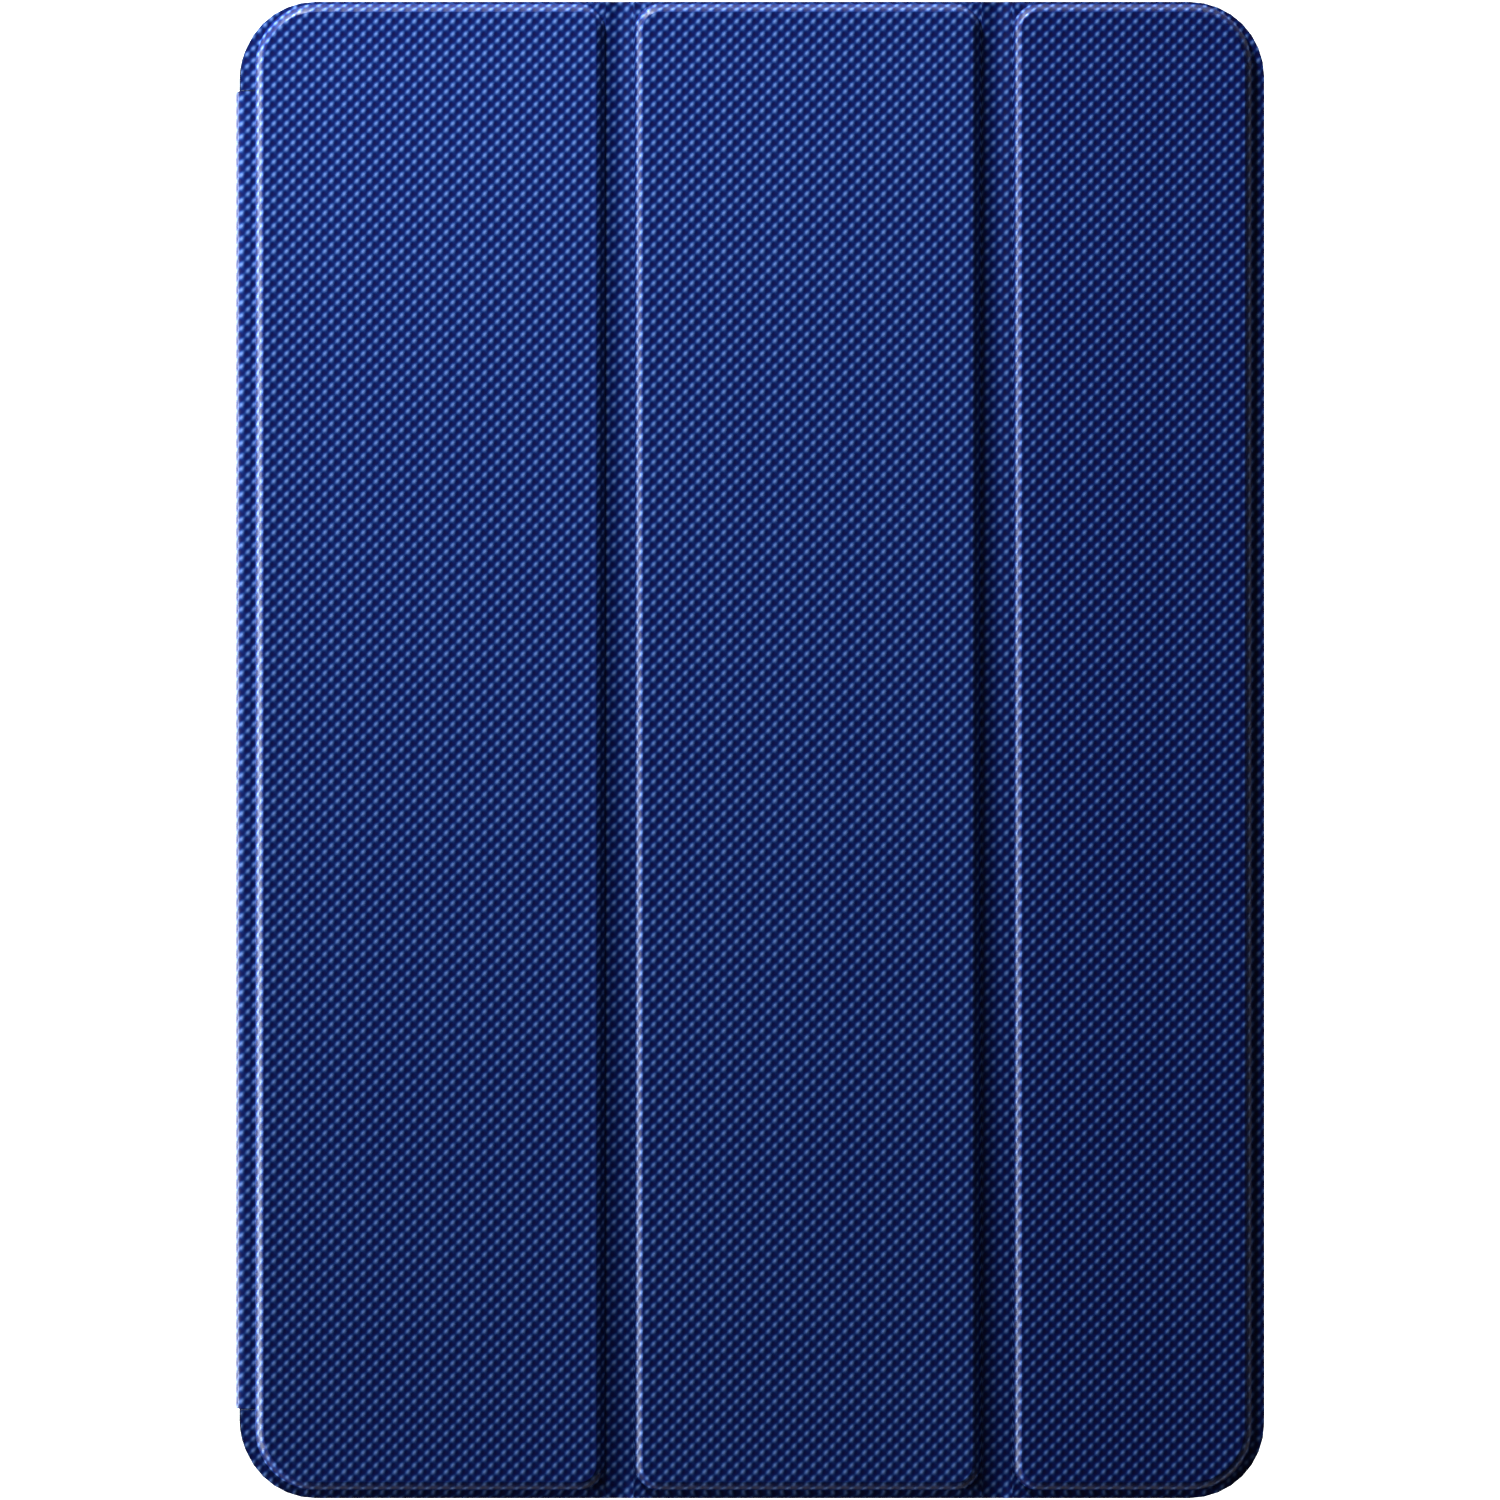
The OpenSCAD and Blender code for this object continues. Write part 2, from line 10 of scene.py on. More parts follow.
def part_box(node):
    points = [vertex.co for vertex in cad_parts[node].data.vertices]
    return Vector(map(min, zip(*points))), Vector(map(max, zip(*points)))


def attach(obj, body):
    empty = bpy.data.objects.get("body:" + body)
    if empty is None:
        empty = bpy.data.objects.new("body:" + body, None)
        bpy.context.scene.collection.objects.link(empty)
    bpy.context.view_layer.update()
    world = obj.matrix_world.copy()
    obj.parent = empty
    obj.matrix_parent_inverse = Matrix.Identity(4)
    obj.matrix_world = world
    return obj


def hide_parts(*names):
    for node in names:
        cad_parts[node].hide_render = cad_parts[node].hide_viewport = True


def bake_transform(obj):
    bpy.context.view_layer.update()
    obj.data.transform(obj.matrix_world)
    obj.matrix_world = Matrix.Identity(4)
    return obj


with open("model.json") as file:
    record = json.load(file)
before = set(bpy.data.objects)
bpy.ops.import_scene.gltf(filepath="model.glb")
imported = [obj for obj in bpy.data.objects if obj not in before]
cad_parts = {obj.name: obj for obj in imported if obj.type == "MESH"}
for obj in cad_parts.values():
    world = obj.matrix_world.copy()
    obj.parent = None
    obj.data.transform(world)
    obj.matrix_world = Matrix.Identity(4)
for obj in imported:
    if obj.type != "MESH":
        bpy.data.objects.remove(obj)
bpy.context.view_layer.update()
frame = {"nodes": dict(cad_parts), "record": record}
mm = 0.001
print("frame loaded:", len(frame["nodes"]), "parts")


def clearSelection():
    if bpy.context.object and bpy.context.object.mode != "OBJECT":
        bpy.ops.object.mode_set(mode="OBJECT")
    bpy.ops.object.select_all(action="DESELECT")


def pick(*things):
    clearSelection()
    for thing in things:
        thing.select_set(True)
    bpy.context.view_layer.objects.active = things[0]


def link(thing):
    bpy.context.scene.collection.objects.link(thing)


def settle(thing):
    # the place and size go into the mesh
    pick(thing)
    bpy.ops.object.transform_apply(location=True, rotation=True, scale=True)


def selectWhere(thing, kind, test):
    # select the edges or the verts that pass the test, in edit mode
    bm = bmesh.from_edit_mesh(thing.data)
    for part in (bm.faces, bm.edges, bm.verts):
        for item in part:
            item.select_set(False)
    for item in getattr(bm, kind):
        if test(item):
            item.select_set(True)
    bm.select_flush_mode()
    bmesh.update_edit_mesh(thing.data)


def editWhole(kind=None):
    # edit mode with everything selected
    bpy.ops.object.mode_set(mode="EDIT")
    if kind:
        bpy.ops.mesh.select_mode(type=kind)
    bpy.ops.mesh.select_all(action="SELECT")


def useModifier(thing, kind, **settings):
    pick(thing)
    modifier = thing.modifiers.new(kind.lower(), kind)
    for name, value in settings.items():
        setattr(modifier, name, value)
    bpy.ops.object.modifier_apply(modifier=modifier.name)


def ease(thing, width, degrees=60, segments=2):
    # round the edges that are sharper than the angle
    useModifier(thing, "BEVEL", width=width, segments=segments, limit_method="ANGLE",
                angle_limit=math.radians(degrees))


def smooth(thing, degrees=35):
    # round where it is round, and the flats stay flat
    pick(thing)
    bpy.ops.object.shade_smooth_by_angle(angle=math.radians(degrees))
    useModifier(thing, "WEIGHTED_NORMAL", keep_sharp=True, weight=90)


def finishPiece(thing, body, slot, replaces=(), keepLook=False):
    if not keepLook:
        thing.data.materials.clear()
        thing.data.materials.append(materials[slot])
    if body:
        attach(thing, body)
    if replaces:
        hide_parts(*replaces)
    return thing


def roundedPlane(name, x, y, z, radii, segments=8):
    # a flat sheet whose corners are rounded one by one: near left, near right, far right, far left
    clearSelection()
    bpy.ops.mesh.primitive_plane_add(size=1, location=(sum(x) / 2, sum(y) / 2, z))
    sheet = bpy.context.object
    sheet.name = sheet.data.name = name
    sheet.scale = (x[1] - x[0], y[1] - y[0], 1)
    settle(sheet)
    bpy.ops.object.mode_set(mode="EDIT")
    bpy.ops.mesh.select_mode(type="VERT")
    corners = [(x[0], y[0]), (x[1], y[0]), (x[1], y[1]), (x[0], y[1])]
    for (cornerX, cornerY), radius in zip(corners, radii):
        selectWhere(sheet, "verts", lambda v: abs(v.co.x - cornerX) < 1e-6 and abs(v.co.y - cornerY) < 1e-6)
        bpy.ops.mesh.bevel(offset=radius, segments=segments, affect="VERTICES")
    bpy.ops.object.mode_set(mode="OBJECT")
    return sheet


def packedCopy(node, name):
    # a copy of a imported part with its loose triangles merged, left in edit mode
    copy = bpy.data.objects.new(name, frame["nodes"][node].data.copy())
    link(copy)
    copy.data.name = name
    pick(copy)
    if "custom_normal" in copy.data.attributes:
        copy.data.attributes.remove(copy.data.attributes["custom_normal"])
    editWhole()
    bpy.ops.mesh.remove_doubles(threshold=1e-6)
    return copy


def refined(node, name, width, keepAngle=40):
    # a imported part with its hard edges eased
    copy = packedCopy(node, name)
    bpy.ops.mesh.dissolve_limited(angle_limit=math.radians(0.5))
    bpy.ops.object.mode_set(mode="OBJECT")
    ease(copy, width, keepAngle)
    smooth(copy)
    return copy


def linkedCopy(thing):
    # a copy with its own mesh
    one = thing.copy()
    one.data = thing.data.copy()
    link(one)
    return one


def newMaterial(name, roughness, **sockets):
    mat = bpy.data.materials.new(name)
    mat.use_nodes = True
    shader = mat.node_tree.nodes["Principled BSDF"]
    shader.inputs["Roughness"].default_value = roughness
    for socket, value in sockets.items():
        shader.inputs[socket.replace("_", " ")].default_value = value
    return mat


def wire(mat, kind, inputs=None, **settings):
    # one node, with its settings, its values and what is plugged into it
    node = mat.node_tree.nodes.new("ShaderNode" + kind)
    for name, value in settings.items():
        setattr(node, name, value)
    for socket, value in (inputs or {}).items():
        if isinstance(value, bpy.types.NodeSocket):
            mat.node_tree.links.new(value, node.inputs[socket])
        else:
            node.inputs[socket].default_value = value
    return node


def maths(mat, operation, first, second=0.0):
    return wire(mat, "Math", {0: first, 1: second}, operation=operation).outputs[0]


def toShader(mat, socket, output):
    mat.node_tree.links.new(output, mat.node_tree.nodes["Principled BSDF"].inputs[socket])


def bumped(mat, strength, distance, height):
    bump = wire(mat, "Bump", {"Strength": strength, "Distance": distance, "Height": height})
    toShader(mat, "Normal", bump.outputs[0])


def ramp(mat, factor, stops):
    node = wire(mat, "ValToRGB", {0: factor})
    points = node.color_ramp.elements
    while len(points) < len(stops):
        points.new(0.5)
    for point, (place, colour) in zip(points, stops):
        point.position = place
        point.color = (*colour, 1)
    return node.outputs["Color"]


def noise(mat, vector, scale, detail=2.0, roughness=0.5):
    node = wire(mat, "TexNoise", {"Vector": vector, "Scale": scale, "Detail": detail, "Roughness": roughness})
    return node.outputs["Fac"]


def objectPlace(mat):
    return wire(mat, "TexCoord").outputs["Object"]


cloth = {
    "pitch": 0.8765 * mm,           # one yarn to the next
    "dye": (0.088, 0.202, 0.468),   # the colour halfway up the weave
    "contrast": 0.53,               # from the pits between the yarns to the crowns
    "relief": 0.08 * mm,
    "middle": 0.38,                 # the tone between the waves
    "waves": [                      # direction, turn, repeats, size
        ("slant", 0, 1, 0.28), ("cross", 0, 1, 0.17), ("across", 0.69, 2, 0.105),
        ("along", 0.37, 2, 0.045), ("slant", 0, 2, 0.055),
    ],
    "yarnDye": 0.025,
    "patches": (38, 0.06),          # scale and size
    "fibres": (5200, 0.08),
    "darker": 0.095,
    "stops": (0.0, 0.2, 0.4, 0.7, 1.0),
    "halfway": 0.4,
    "gamma": 2.2,
    # painted shade on the cloth: from where across the cloth, how steeply it sets in, by how much
    "freeEndShade": (0.104, 150, 0.06),
}


def wovenSkin():
    mat = newMaterial("wovenSkin", 0.4, Specular_IOR_Level=0.3)
    place = wire(mat, "UVMap", uv_map="cloth").outputs[0]
    sides = wire(mat, "SeparateXYZ", {0: place})
    step = math.pi / cloth["pitch"]
    across = maths(mat, "MULTIPLY", sides.outputs[0], step)
    along = maths(mat, "MULTIPLY", sides.outputs[1], step)
    angles = {"across": across, "along": along, "slant": maths(mat, "SUBTRACT", across, along),
              "cross": maths(mat, "ADD", across, along)}

    def wave(angle, turn, times, size):
        turned = maths(mat, "SUBTRACT", maths(mat, "MULTIPLY", angle, times), turn)
        return maths(mat, "MULTIPLY", maths(mat, "COSINE", turned), size)

    # two crossing ribs, and the smaller waves that make every crown a short slanting dot
    weave = cloth["middle"]
    for angle, turn, times, size in cloth["waves"]:
        weave = maths(mat, "ADD", weave, wave(angles[angle], turn, times, size))
    # every yarn takes the dye a little differently
    uneven = []
    for side in (0, 1):
        yarn = maths(mat, "FLOOR", maths(mat, "MULTIPLY", sides.outputs[side], 1 / cloth["pitch"]))
        uneven.append(wire(mat, "TexWhiteNoise", {"W": yarn}, noise_dimensions="1D").outputs["Value"])
    dye = maths(mat, "MULTIPLY", maths(mat, "ADD", *uneven), cloth["yarnDye"])
    patches = maths(mat, "MULTIPLY", noise(mat, place, cloth["patches"][0], 3), cloth["patches"][1])
    fibres = maths(mat, "MULTIPLY", noise(mat, place, cloth["fibres"][0], 2, 0.7), cloth["fibres"][1])
    tone = maths(mat, "ADD", maths(mat, "ADD", weave, dye), maths(mat, "ADD", patches, fibres))
    tone = maths(mat, "SUBTRACT", tone, cloth["darker"])
    # the colour runs from the pits to the crowns: partly the yarns' own two tones, partly painted shade in
    # the pits and a painted highlight on the crowns, on top of the bump
    stops = []
    for level in cloth["stops"]:
        lift = (level - cloth["halfway"]) * cloth["contrast"]
        stops.append((level, [max(channel + lift, 0) ** cloth["gamma"] for channel in cloth["dye"]]))
    # painted shade: the cloth's colour is a little darker towards the free end of the cover, in place of the
    # shade the light leaves there
    start, steepness, freeEndShade = cloth["freeEndShade"]
    depth = maths(mat, "MULTIPLY", maths(mat, "SUBTRACT", sides.outputs[0], start), steepness)
    depth = maths(mat, "MULTIPLY", maths(mat, "MINIMUM", maths(mat, "MAXIMUM", depth, 0), 1), freeEndShade)
    toShader(mat, "Base Color", ramp(mat, maths(mat, "SUBTRACT", tone, depth), stops))
    height = maths(mat, "ADD", weave, maths(mat, "MULTIPLY", fibres, 1.5))
    bumped(mat, 0.6, cloth["relief"], height)
    toShader(mat, "Roughness", maths(mat, "SUBTRACT", 0.42, maths(mat, "MULTIPLY", weave, 0.14)))
    return mat


def innerLining():
    mat = newMaterial("innerLining", 0.95, Sheen_Weight=0.35, Sheen_Roughness=0.4)
    place = wire(mat, "UVMap", uv_map="cloth").outputs[0]
    nap = noise(mat, place, 2600, 4, 0.7)
    stroked = wire(mat, "Mapping", {"Vector": place, "Scale": (1, 0.25, 1)}).outputs[0]
    brushed = noise(mat, stroked, 220, 4, 0.6)
    tone = maths(mat, "ADD", maths(mat, "MULTIPLY", nap, 0.5), maths(mat, "MULTIPLY", brushed, 0.5))
    toShader(mat, "Base Color", ramp(mat, tone, [(0.3, (0.012, 0.018, 0.045)), (0.7, (0.035, 0.048, 0.10))]))
    bumped(mat, 0.5, 0.05 * mm, tone)
    return mat


def grained(name, dark, light, roughness, grain=3000, relief=0.02 * mm, spread=0.12, **sockets):
    # moulded plastic, rubber or board with a fine surface grain
    mat = newMaterial(name, roughness, **sockets)
    place = objectPlace(mat)
    speckle = noise(mat, place, grain, 4, 0.65)
    cloud = noise(mat, place, 45, 3, 0.5)
    tone = maths(mat, "ADD", maths(mat, "MULTIPLY", speckle, 0.5), maths(mat, "MULTIPLY", cloud, 0.5))
    toShader(mat, "Base Color", ramp(mat, tone, [(0.35, dark), (0.65, light)]))
    rough = maths(mat, "ADD", roughness - spread / 2, maths(mat, "MULTIPLY", cloud, spread))
    toShader(mat, "Roughness", rough)
    bumped(mat, 0.6, relief, speckle)
    return mat


def brushedMetal(name, dark, light, roughness, stretch=(1, 30, 30), metallic=1.0):
    mat = newMaterial(name, roughness, Metallic=metallic)
    place = wire(mat, "Mapping", {"Vector": objectPlace(mat), "Scale": stretch}).outputs[0]
    lines = noise(mat, place, 260, 5, 0.7)
    cloud = noise(mat, objectPlace(mat), 90, 2)
    toShader(mat, "Base Color", ramp(mat, cloud, [(0.3, dark), (0.7, light)]))
    toShader(mat, "Roughness", maths(mat, "ADD", roughness - 0.08, maths(mat, "MULTIPLY", lines, 0.16)))
    bumped(mat, 0.3, 0.01 * mm, lines)
    return mat


def printedFilm():
    # polyester film with silver tracks
    mat = newMaterial("membraneFilm", 0.25, Coat_Weight=0.3)
    place = objectPlace(mat)
    tracks = wire(mat, "TexBrick", {"Vector": place, "Scale": 160.0, "Mortar Size": 0.04,
                  "Color1": (0.62, 0.68, 0.74, 1), "Color2": (0.55, 0.62, 0.7, 1),
                  "Mortar": (0.32, 0.33, 0.34, 1)})
    toShader(mat, "Base Color", tracks.outputs["Color"])
    bumped(mat, 0.2, 0.02 * mm, tracks.outputs["Fac"])
    return mat


def circuitBoard():
    mat = newMaterial("circuitBoard", 0.35, Coat_Weight=0.4)
    place = objectPlace(mat)
    cells = wire(mat, "TexVoronoi", {"Vector": place, "Scale": 900.0}, distance="MANHATTAN")
    copper = cells.outputs["Distance"]
    greens = [(0.25, (0.006, 0.07, 0.025)), (0.55, (0.012, 0.16, 0.05))]
    toShader(mat, "Base Color", ramp(mat, copper, greens))
    bumped(mat, 0.4, 0.03 * mm, copper)
    return mat


skinMaterial = wovenSkin()
liningMaterial = innerLining()
materials = {
    "woven_skin": skinMaterial,
    "inner_lining": liningMaterial,
    "stiff_board": grained("stiffBoard", (0.26, 0.23, 0.18), (0.42, 0.38, 0.31), 0.85, 1400, 0.05 * mm),
    "adhesive_tape": grained("adhesiveTape", (0.72, 0.72, 0.66), (0.84, 0.84, 0.8), 0.45, 800),
    "tray_plastic": grained("trayPlastic", (0.003, 0.008, 0.042), (0.006, 0.014, 0.065), 0.46, 2600,
                            0.02 * mm, 0.1, Specular_IOR_Level=0.4),
    "magnet_steel": brushedMetal("magnetNickel", (0.55, 0.54, 0.5), (0.72, 0.71, 0.67), 0.25),
    "case_plastic": grained("casePlastic", (0.016, 0.018, 0.024), (0.028, 0.031, 0.04), 0.5, 3400, 0.03 * mm),
    "deck_plastic": grained("deckPlastic", (0.02, 0.022, 0.028), (0.034, 0.037, 0.045), 0.46, 3800,
                            0.02 * mm),
    "keycap_plastic": grained("keycapPlastic", (0.012, 0.013, 0.016), (0.022, 0.023, 0.027), 0.42, 5200,
                              0.012 * mm),
    "plate_steel": brushedMetal("plateSteel", (0.5, 0.51, 0.53), (0.66, 0.67, 0.69), 0.36),
    "membrane_film": printedFilm(),
    "dome_silicone": grained("domeSilicone", (0.62, 0.64, 0.62), (0.74, 0.75, 0.73), 0.4, 900, 0.01 * mm,
                             Subsurface_Weight=0.2),
    "battery_foil": brushedMetal("batteryFoil", (0.6, 0.62, 0.65), (0.76, 0.77, 0.8), 0.3, (8, 8, 8)),
    "circuit_board": circuitBoard(),
    "port_metal": brushedMetal("portMetal", (0.6, 0.6, 0.62), (0.75, 0.75, 0.76), 0.2),
    "light_guide": grained("lightGuide", (0.75, 0.8, 0.84), (0.85, 0.9, 0.94), 0.15, 500, 0.004 * mm,
                           Coat_Weight=0.5),
    "soft_rubber": grained("softRubber", (0.012, 0.012, 0.013), (0.024, 0.024, 0.026), 0.75, 2200, 0.04 * mm),
    "screw_steel": brushedMetal("screwSteel", (0.3, 0.3, 0.31), (0.45, 0.45, 0.46), 0.33),
    "switch_plastic": grained("switchPlastic", (0.05, 0.05, 0.055), (0.09, 0.09, 0.095), 0.5, 3000),
}
printMaterial = grained("legendPrint", (0.62, 0.64, 0.66), (0.74, 0.76, 0.78), 0.55, 2000, 0.005 * mm)
slotOf = {entry["node"]: entry["material_slot"] for entry in frame["record"]["subparts"]}
bodies = frame["record"]["behaviour"]["bodies"]
bodyOf = {member: body for body, members in bodies.items() for member in members}
for nodeName, node in frame["nodes"].items():
    node.data.materials.clear()
    node.data.materials.append(materials[slotOf[nodeName]])
print("materials made:", len(bpy.data.materials))


skin = {
    "thickness": 0.55 * mm,
    "boardSide": 0.6 * mm,      # cloth beside the board
    "spread": 0.5 * mm,         # how far the foot of a pad's wall stands out from the pad
    "innerRound": 3.5 * mm,
    "outerRound": 8.4 * mm,
    "caseRound": 10.3 * mm,
    "pressed": 0.2 * mm,        # a square corner, as it is after pressing
    "seamGap": 0.12 * mm,
    "edge": 0.14 * mm,
    "wallSteps": 9,
    "wallSquare": 1.4,          # 2 is a true quarter round, and less leaves more of a slope
    "fit": 0.02 * mm,           # each layer is this much thinner than its place
    "clothEdge": 0.15 * mm,
    "notchGap": 0.15 * mm,
    "footGap": 0.1 * mm,
}
panels = {
    "panel_1": {"radii": ("caseRound", "pressed", "pressed", "caseRound"),
                "pad": ("outerRound", "innerRound")},
    "panel_2": {"radii": ("pressed",) * 4, "pad": ("innerRound", "innerRound")},
    "panel_3": {"radii": ("pressed", "caseRound", "caseRound", "pressed"),
                "pad": ("innerRound", "outerRound")},
}
spineLow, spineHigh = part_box("spine_skin")
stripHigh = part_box("upper_hinge_strip")[1]
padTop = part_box("panel_1_skin")[1].z
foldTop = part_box("near_crease_strip")[1].z
padRise = padTop - foldTop
clothRise = padRise * (math.pi / 2 - 1)     # the cloth that a quarter round takes up beyond its width
stripRound = stripHigh.x - spineLow.x
notchX = spineLow.x + stripRound


def quarterSteps(radius, steps, square=2):
    # steps in and up that together make a quarter round
    turns = [math.pi / 2 * step / steps for step in range(steps)]
    places = [(math.cos(turn) ** (2 / square), math.sin(turn) ** (2 / square)) for turn in turns] + [(0, 1)]
    return [(radius * (a[0] - b[0]), radius * (b[1] - a[1])) for a, b in zip(places, places[1:])]


def padBox(name):
    low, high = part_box(name + "_board")
    side = skin["boardSide"] + skin["spread"]
    return low.x - side, high.x + side, low.y - side, high.y + side


def outward(x, y, box, radii):
    # the level direction away from a pad whose corners are round
    x1, x2, y1, y2 = box
    r = radii[0] if x < (x1 + x2) / 2 else radii[1]
    dx = min(x - (x1 + r), 0) if x < (x1 + x2) / 2 else max(x - (x2 - r), 0)
    dy = min(y - (y1 + r), 0) if y < (y1 + y2) / 2 else max(y - (y2 - r), 0)
    if x1 + 1e-7 < x < x2 - 1e-7 and y1 + 1e-7 < y < y2 - 1e-7 and (dx == 0 or dy == 0):
        gaps = [(x - x1, (-1, 0)), (x2 - x, (1, 0)), (y - y1, (0, -1)), (y2 - y, (0, 1))]
        return Vector(min(gaps)[1])
    away = Vector((dx, dy))
    return away.normalized() if away.length > 1e-9 else away


def layCloth(thing, placeOf):
    # the cloth's own map, in metres: across the cover, then along it
    layer = thing.data.uv_layers.get("cloth") or thing.data.uv_layers.new(name="cloth")
    for loop in thing.data.loops:
        layer.data[loop.index].uv = placeOf(thing.data.vertices[loop.vertex_index].co)
    for other in [l for l in thing.data.uv_layers if l.name != "cloth"]:
        thing.data.uv_layers.remove(other)


def panelEdges(name, low, high):
    # a panel reaches to the foot of its pad's walls
    spread = skin["spread"]
    return low.x - (spread if name != "panel_1" else 0), high.x + (spread if name != "panel_3" else 0)


def clothStart(name):
    # each pad before this one takes up more cloth than its width
    return {"panel_1": 0, "panel_2": 2 * clothRise, "panel_3": 4 * clothRise}[name] - spineLow.x


def notch(thing, reach):
    # room for the strip that goes round the spine
    clearSelection()
    bpy.ops.mesh.primitive_cube_add(size=1, location=(reach - 5 * mm, 0, padTop))
    cutter = bpy.context.object
    cutter.scale = (10 * mm, 2 * (stripHigh.y + skin["notchGap"]), 20 * mm)
    settle(cutter)
    useModifier(thing, "BOOLEAN", operation="DIFFERENCE", solver="EXACT", object=cutter)
    bpy.data.objects.remove(cutter)


def panelSkin(name, shape):
    low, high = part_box(name + "_skin")
    x1, x2, y1, y2 = padBox(name)
    gap = skin["seamGap"]
    edges = panelEdges(name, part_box(name + "_lining")[0], high)
    baseX = (max(x1, edges[0] + gap), min(x2, edges[1] - gap))
    if name == "panel_1":
        baseX = (notchX - skin["footGap"], baseX[1])
    radii = [skin[r] for r in (shape["pad"][0], shape["pad"][1], shape["pad"][1], shape["pad"][0])]
    pad = roundedPlane(name + "_cover", baseX, (y1, y2), foldTop, radii)
    editWhole("FACE")
    for inward, up in quarterSteps(padRise, skin["wallSteps"], skin["wallSquare"]):
        bpy.ops.mesh.inset(thickness=inward, depth=up)
    bpy.ops.object.mode_set(mode="OBJECT")
    rim = roundedPlane("rim", edges, (low.y, high.y), foldTop, [skin[r] for r in shape["radii"]])
    editWhole("FACE")
    bpy.ops.mesh.delete(type="ONLY_FACE")
    bpy.ops.object.mode_set(mode="OBJECT")
    pick(pad, rim)
    bpy.ops.object.join()
    bpy.ops.object.mode_set(mode="EDIT")
    bpy.ops.mesh.select_mode(type="EDGE")
    selectWhere(pad, "edges", lambda e: len(e.link_faces) < 2)
    bpy.ops.mesh.bridge_edge_loops()
    bpy.ops.mesh.select_all(action="SELECT")
    bpy.ops.mesh.normals_make_consistent(inside=False)
    bpy.ops.object.mode_set(mode="OBJECT")
    start = clothStart(name)
    share = clothRise / padRise

    def placeOf(co):
        away = outward(co.x, co.y, (*baseX, y1, y2), radii) * (padTop - co.z) * share
        return co.x + start + away[0], co.y + away[1]

    layCloth(pad, placeOf)
    useModifier(pad, "SOLIDIFY", thickness=skin["thickness"], offset=-1, use_even_offset=True)
    if name == "panel_1":
        notch(pad, baseX[0])
    ease(pad, skin["edge"])
    smooth(pad, 40)
    finishPiece(pad, name, "woven_skin", [name + "_skin"])
    return pad


for panelName, panelShape in panels.items():
    panelSkin(panelName, panelShape)
print("pads pressed:", len(panels))


def panelLining(name, shape):
    low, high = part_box(name + "_lining")
    sheet = roundedPlane(name + "_inner_cloth", panelEdges(name, low, high), (low.y, high.y), high.z,
                         [skin[r] for r in shape["radii"]])
    layCloth(sheet, lambda co: (co.x, co.y))
    useModifier(sheet, "SOLIDIFY", thickness=high.z - low.z - skin["fit"], offset=-1)
    if name == "panel_1":
        notch(sheet, notchX)
    ease(sheet, skin["clothEdge"])
    smooth(sheet, 40)
    finishPiece(sheet, name, "inner_lining", [name + "_lining"])


for panelName, panelShape in panels.items():
    panelLining(panelName, panelShape)

fold = {"steps": 16, "sag": 0.4 * mm, "flatter": 1.5}


def backWithLining(strip, thickness):
    # the same strip is woven outside and brushed inside
    strip.data.materials.clear()
    strip.data.materials.append(skinMaterial)
    strip.data.materials.append(liningMaterial)
    useModifier(strip, "SOLIDIFY", thickness=thickness, offset=-1, material_offset=1)
    smooth(strip, 40)


def creaseStrip(node, name, before):
    low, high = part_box(node)
    low.x += skin["spread"]
    high.x -= skin["spread"]
    clearSelection()
    bpy.ops.mesh.primitive_grid_add(x_subdivisions=fold["steps"], y_subdivisions=2, size=1,
                                    location=((low.x + high.x) / 2, (low.y + high.y) / 2, high.z))
    strip = bpy.context.object
    strip.name = strip.data.name = name
    strip.scale = (high.x - low.x, high.y - low.y, 1)
    settle(strip)
    start = clothStart(before) + clothRise
    layCloth(strip, lambda co: (co.x + start, co.y))
    for vert in strip.data.vertices:
        # pressed down in the middle of the fold
        share = (vert.co.x - low.x) / (high.x - low.x)
        vert.co.z -= fold["sag"] * abs(math.sin(math.pi * share)) ** fold["flatter"]
    backWithLining(strip, high.z - low.z - fold["sag"] - skin["fit"])
    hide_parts(node)
    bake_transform(strip)


creaseStrip("near_crease_strip", "near_crease", "panel_1")
creaseStrip("far_crease_strip", "far_crease", "panel_2")


hinge = {
    # the middle of each quarter turn, its outside radius, where it starts, and how thick the cloth is there
    "upper_hinge": {"node": "upper_hinge_strip", "round": stripRound, "from": 90,
                    "between": ("spine", "panel_1"), "thickness": 1.2 * mm,
                    "clothAt": notchX - clothRise, "square": 6},
    "lower_hinge": {"node": "lower_hinge_strip", "round": 2.5 * mm, "from": 180, "between": ("tray", "spine"),
                    "thickness": 0.6 * mm, "clothAt": None, "square": 2},
    "steps": 20,
    "longer": 1.18,     # the squarer turn of the upper strip, measured against a circle's
}
spineDrop = spineHigh.z - spineLow.z
turnLength = hinge["longer"] * stripRound * math.pi / 2
hinge["lower_hinge"]["clothAt"] = notchX - clothRise - turnLength - spineDrop


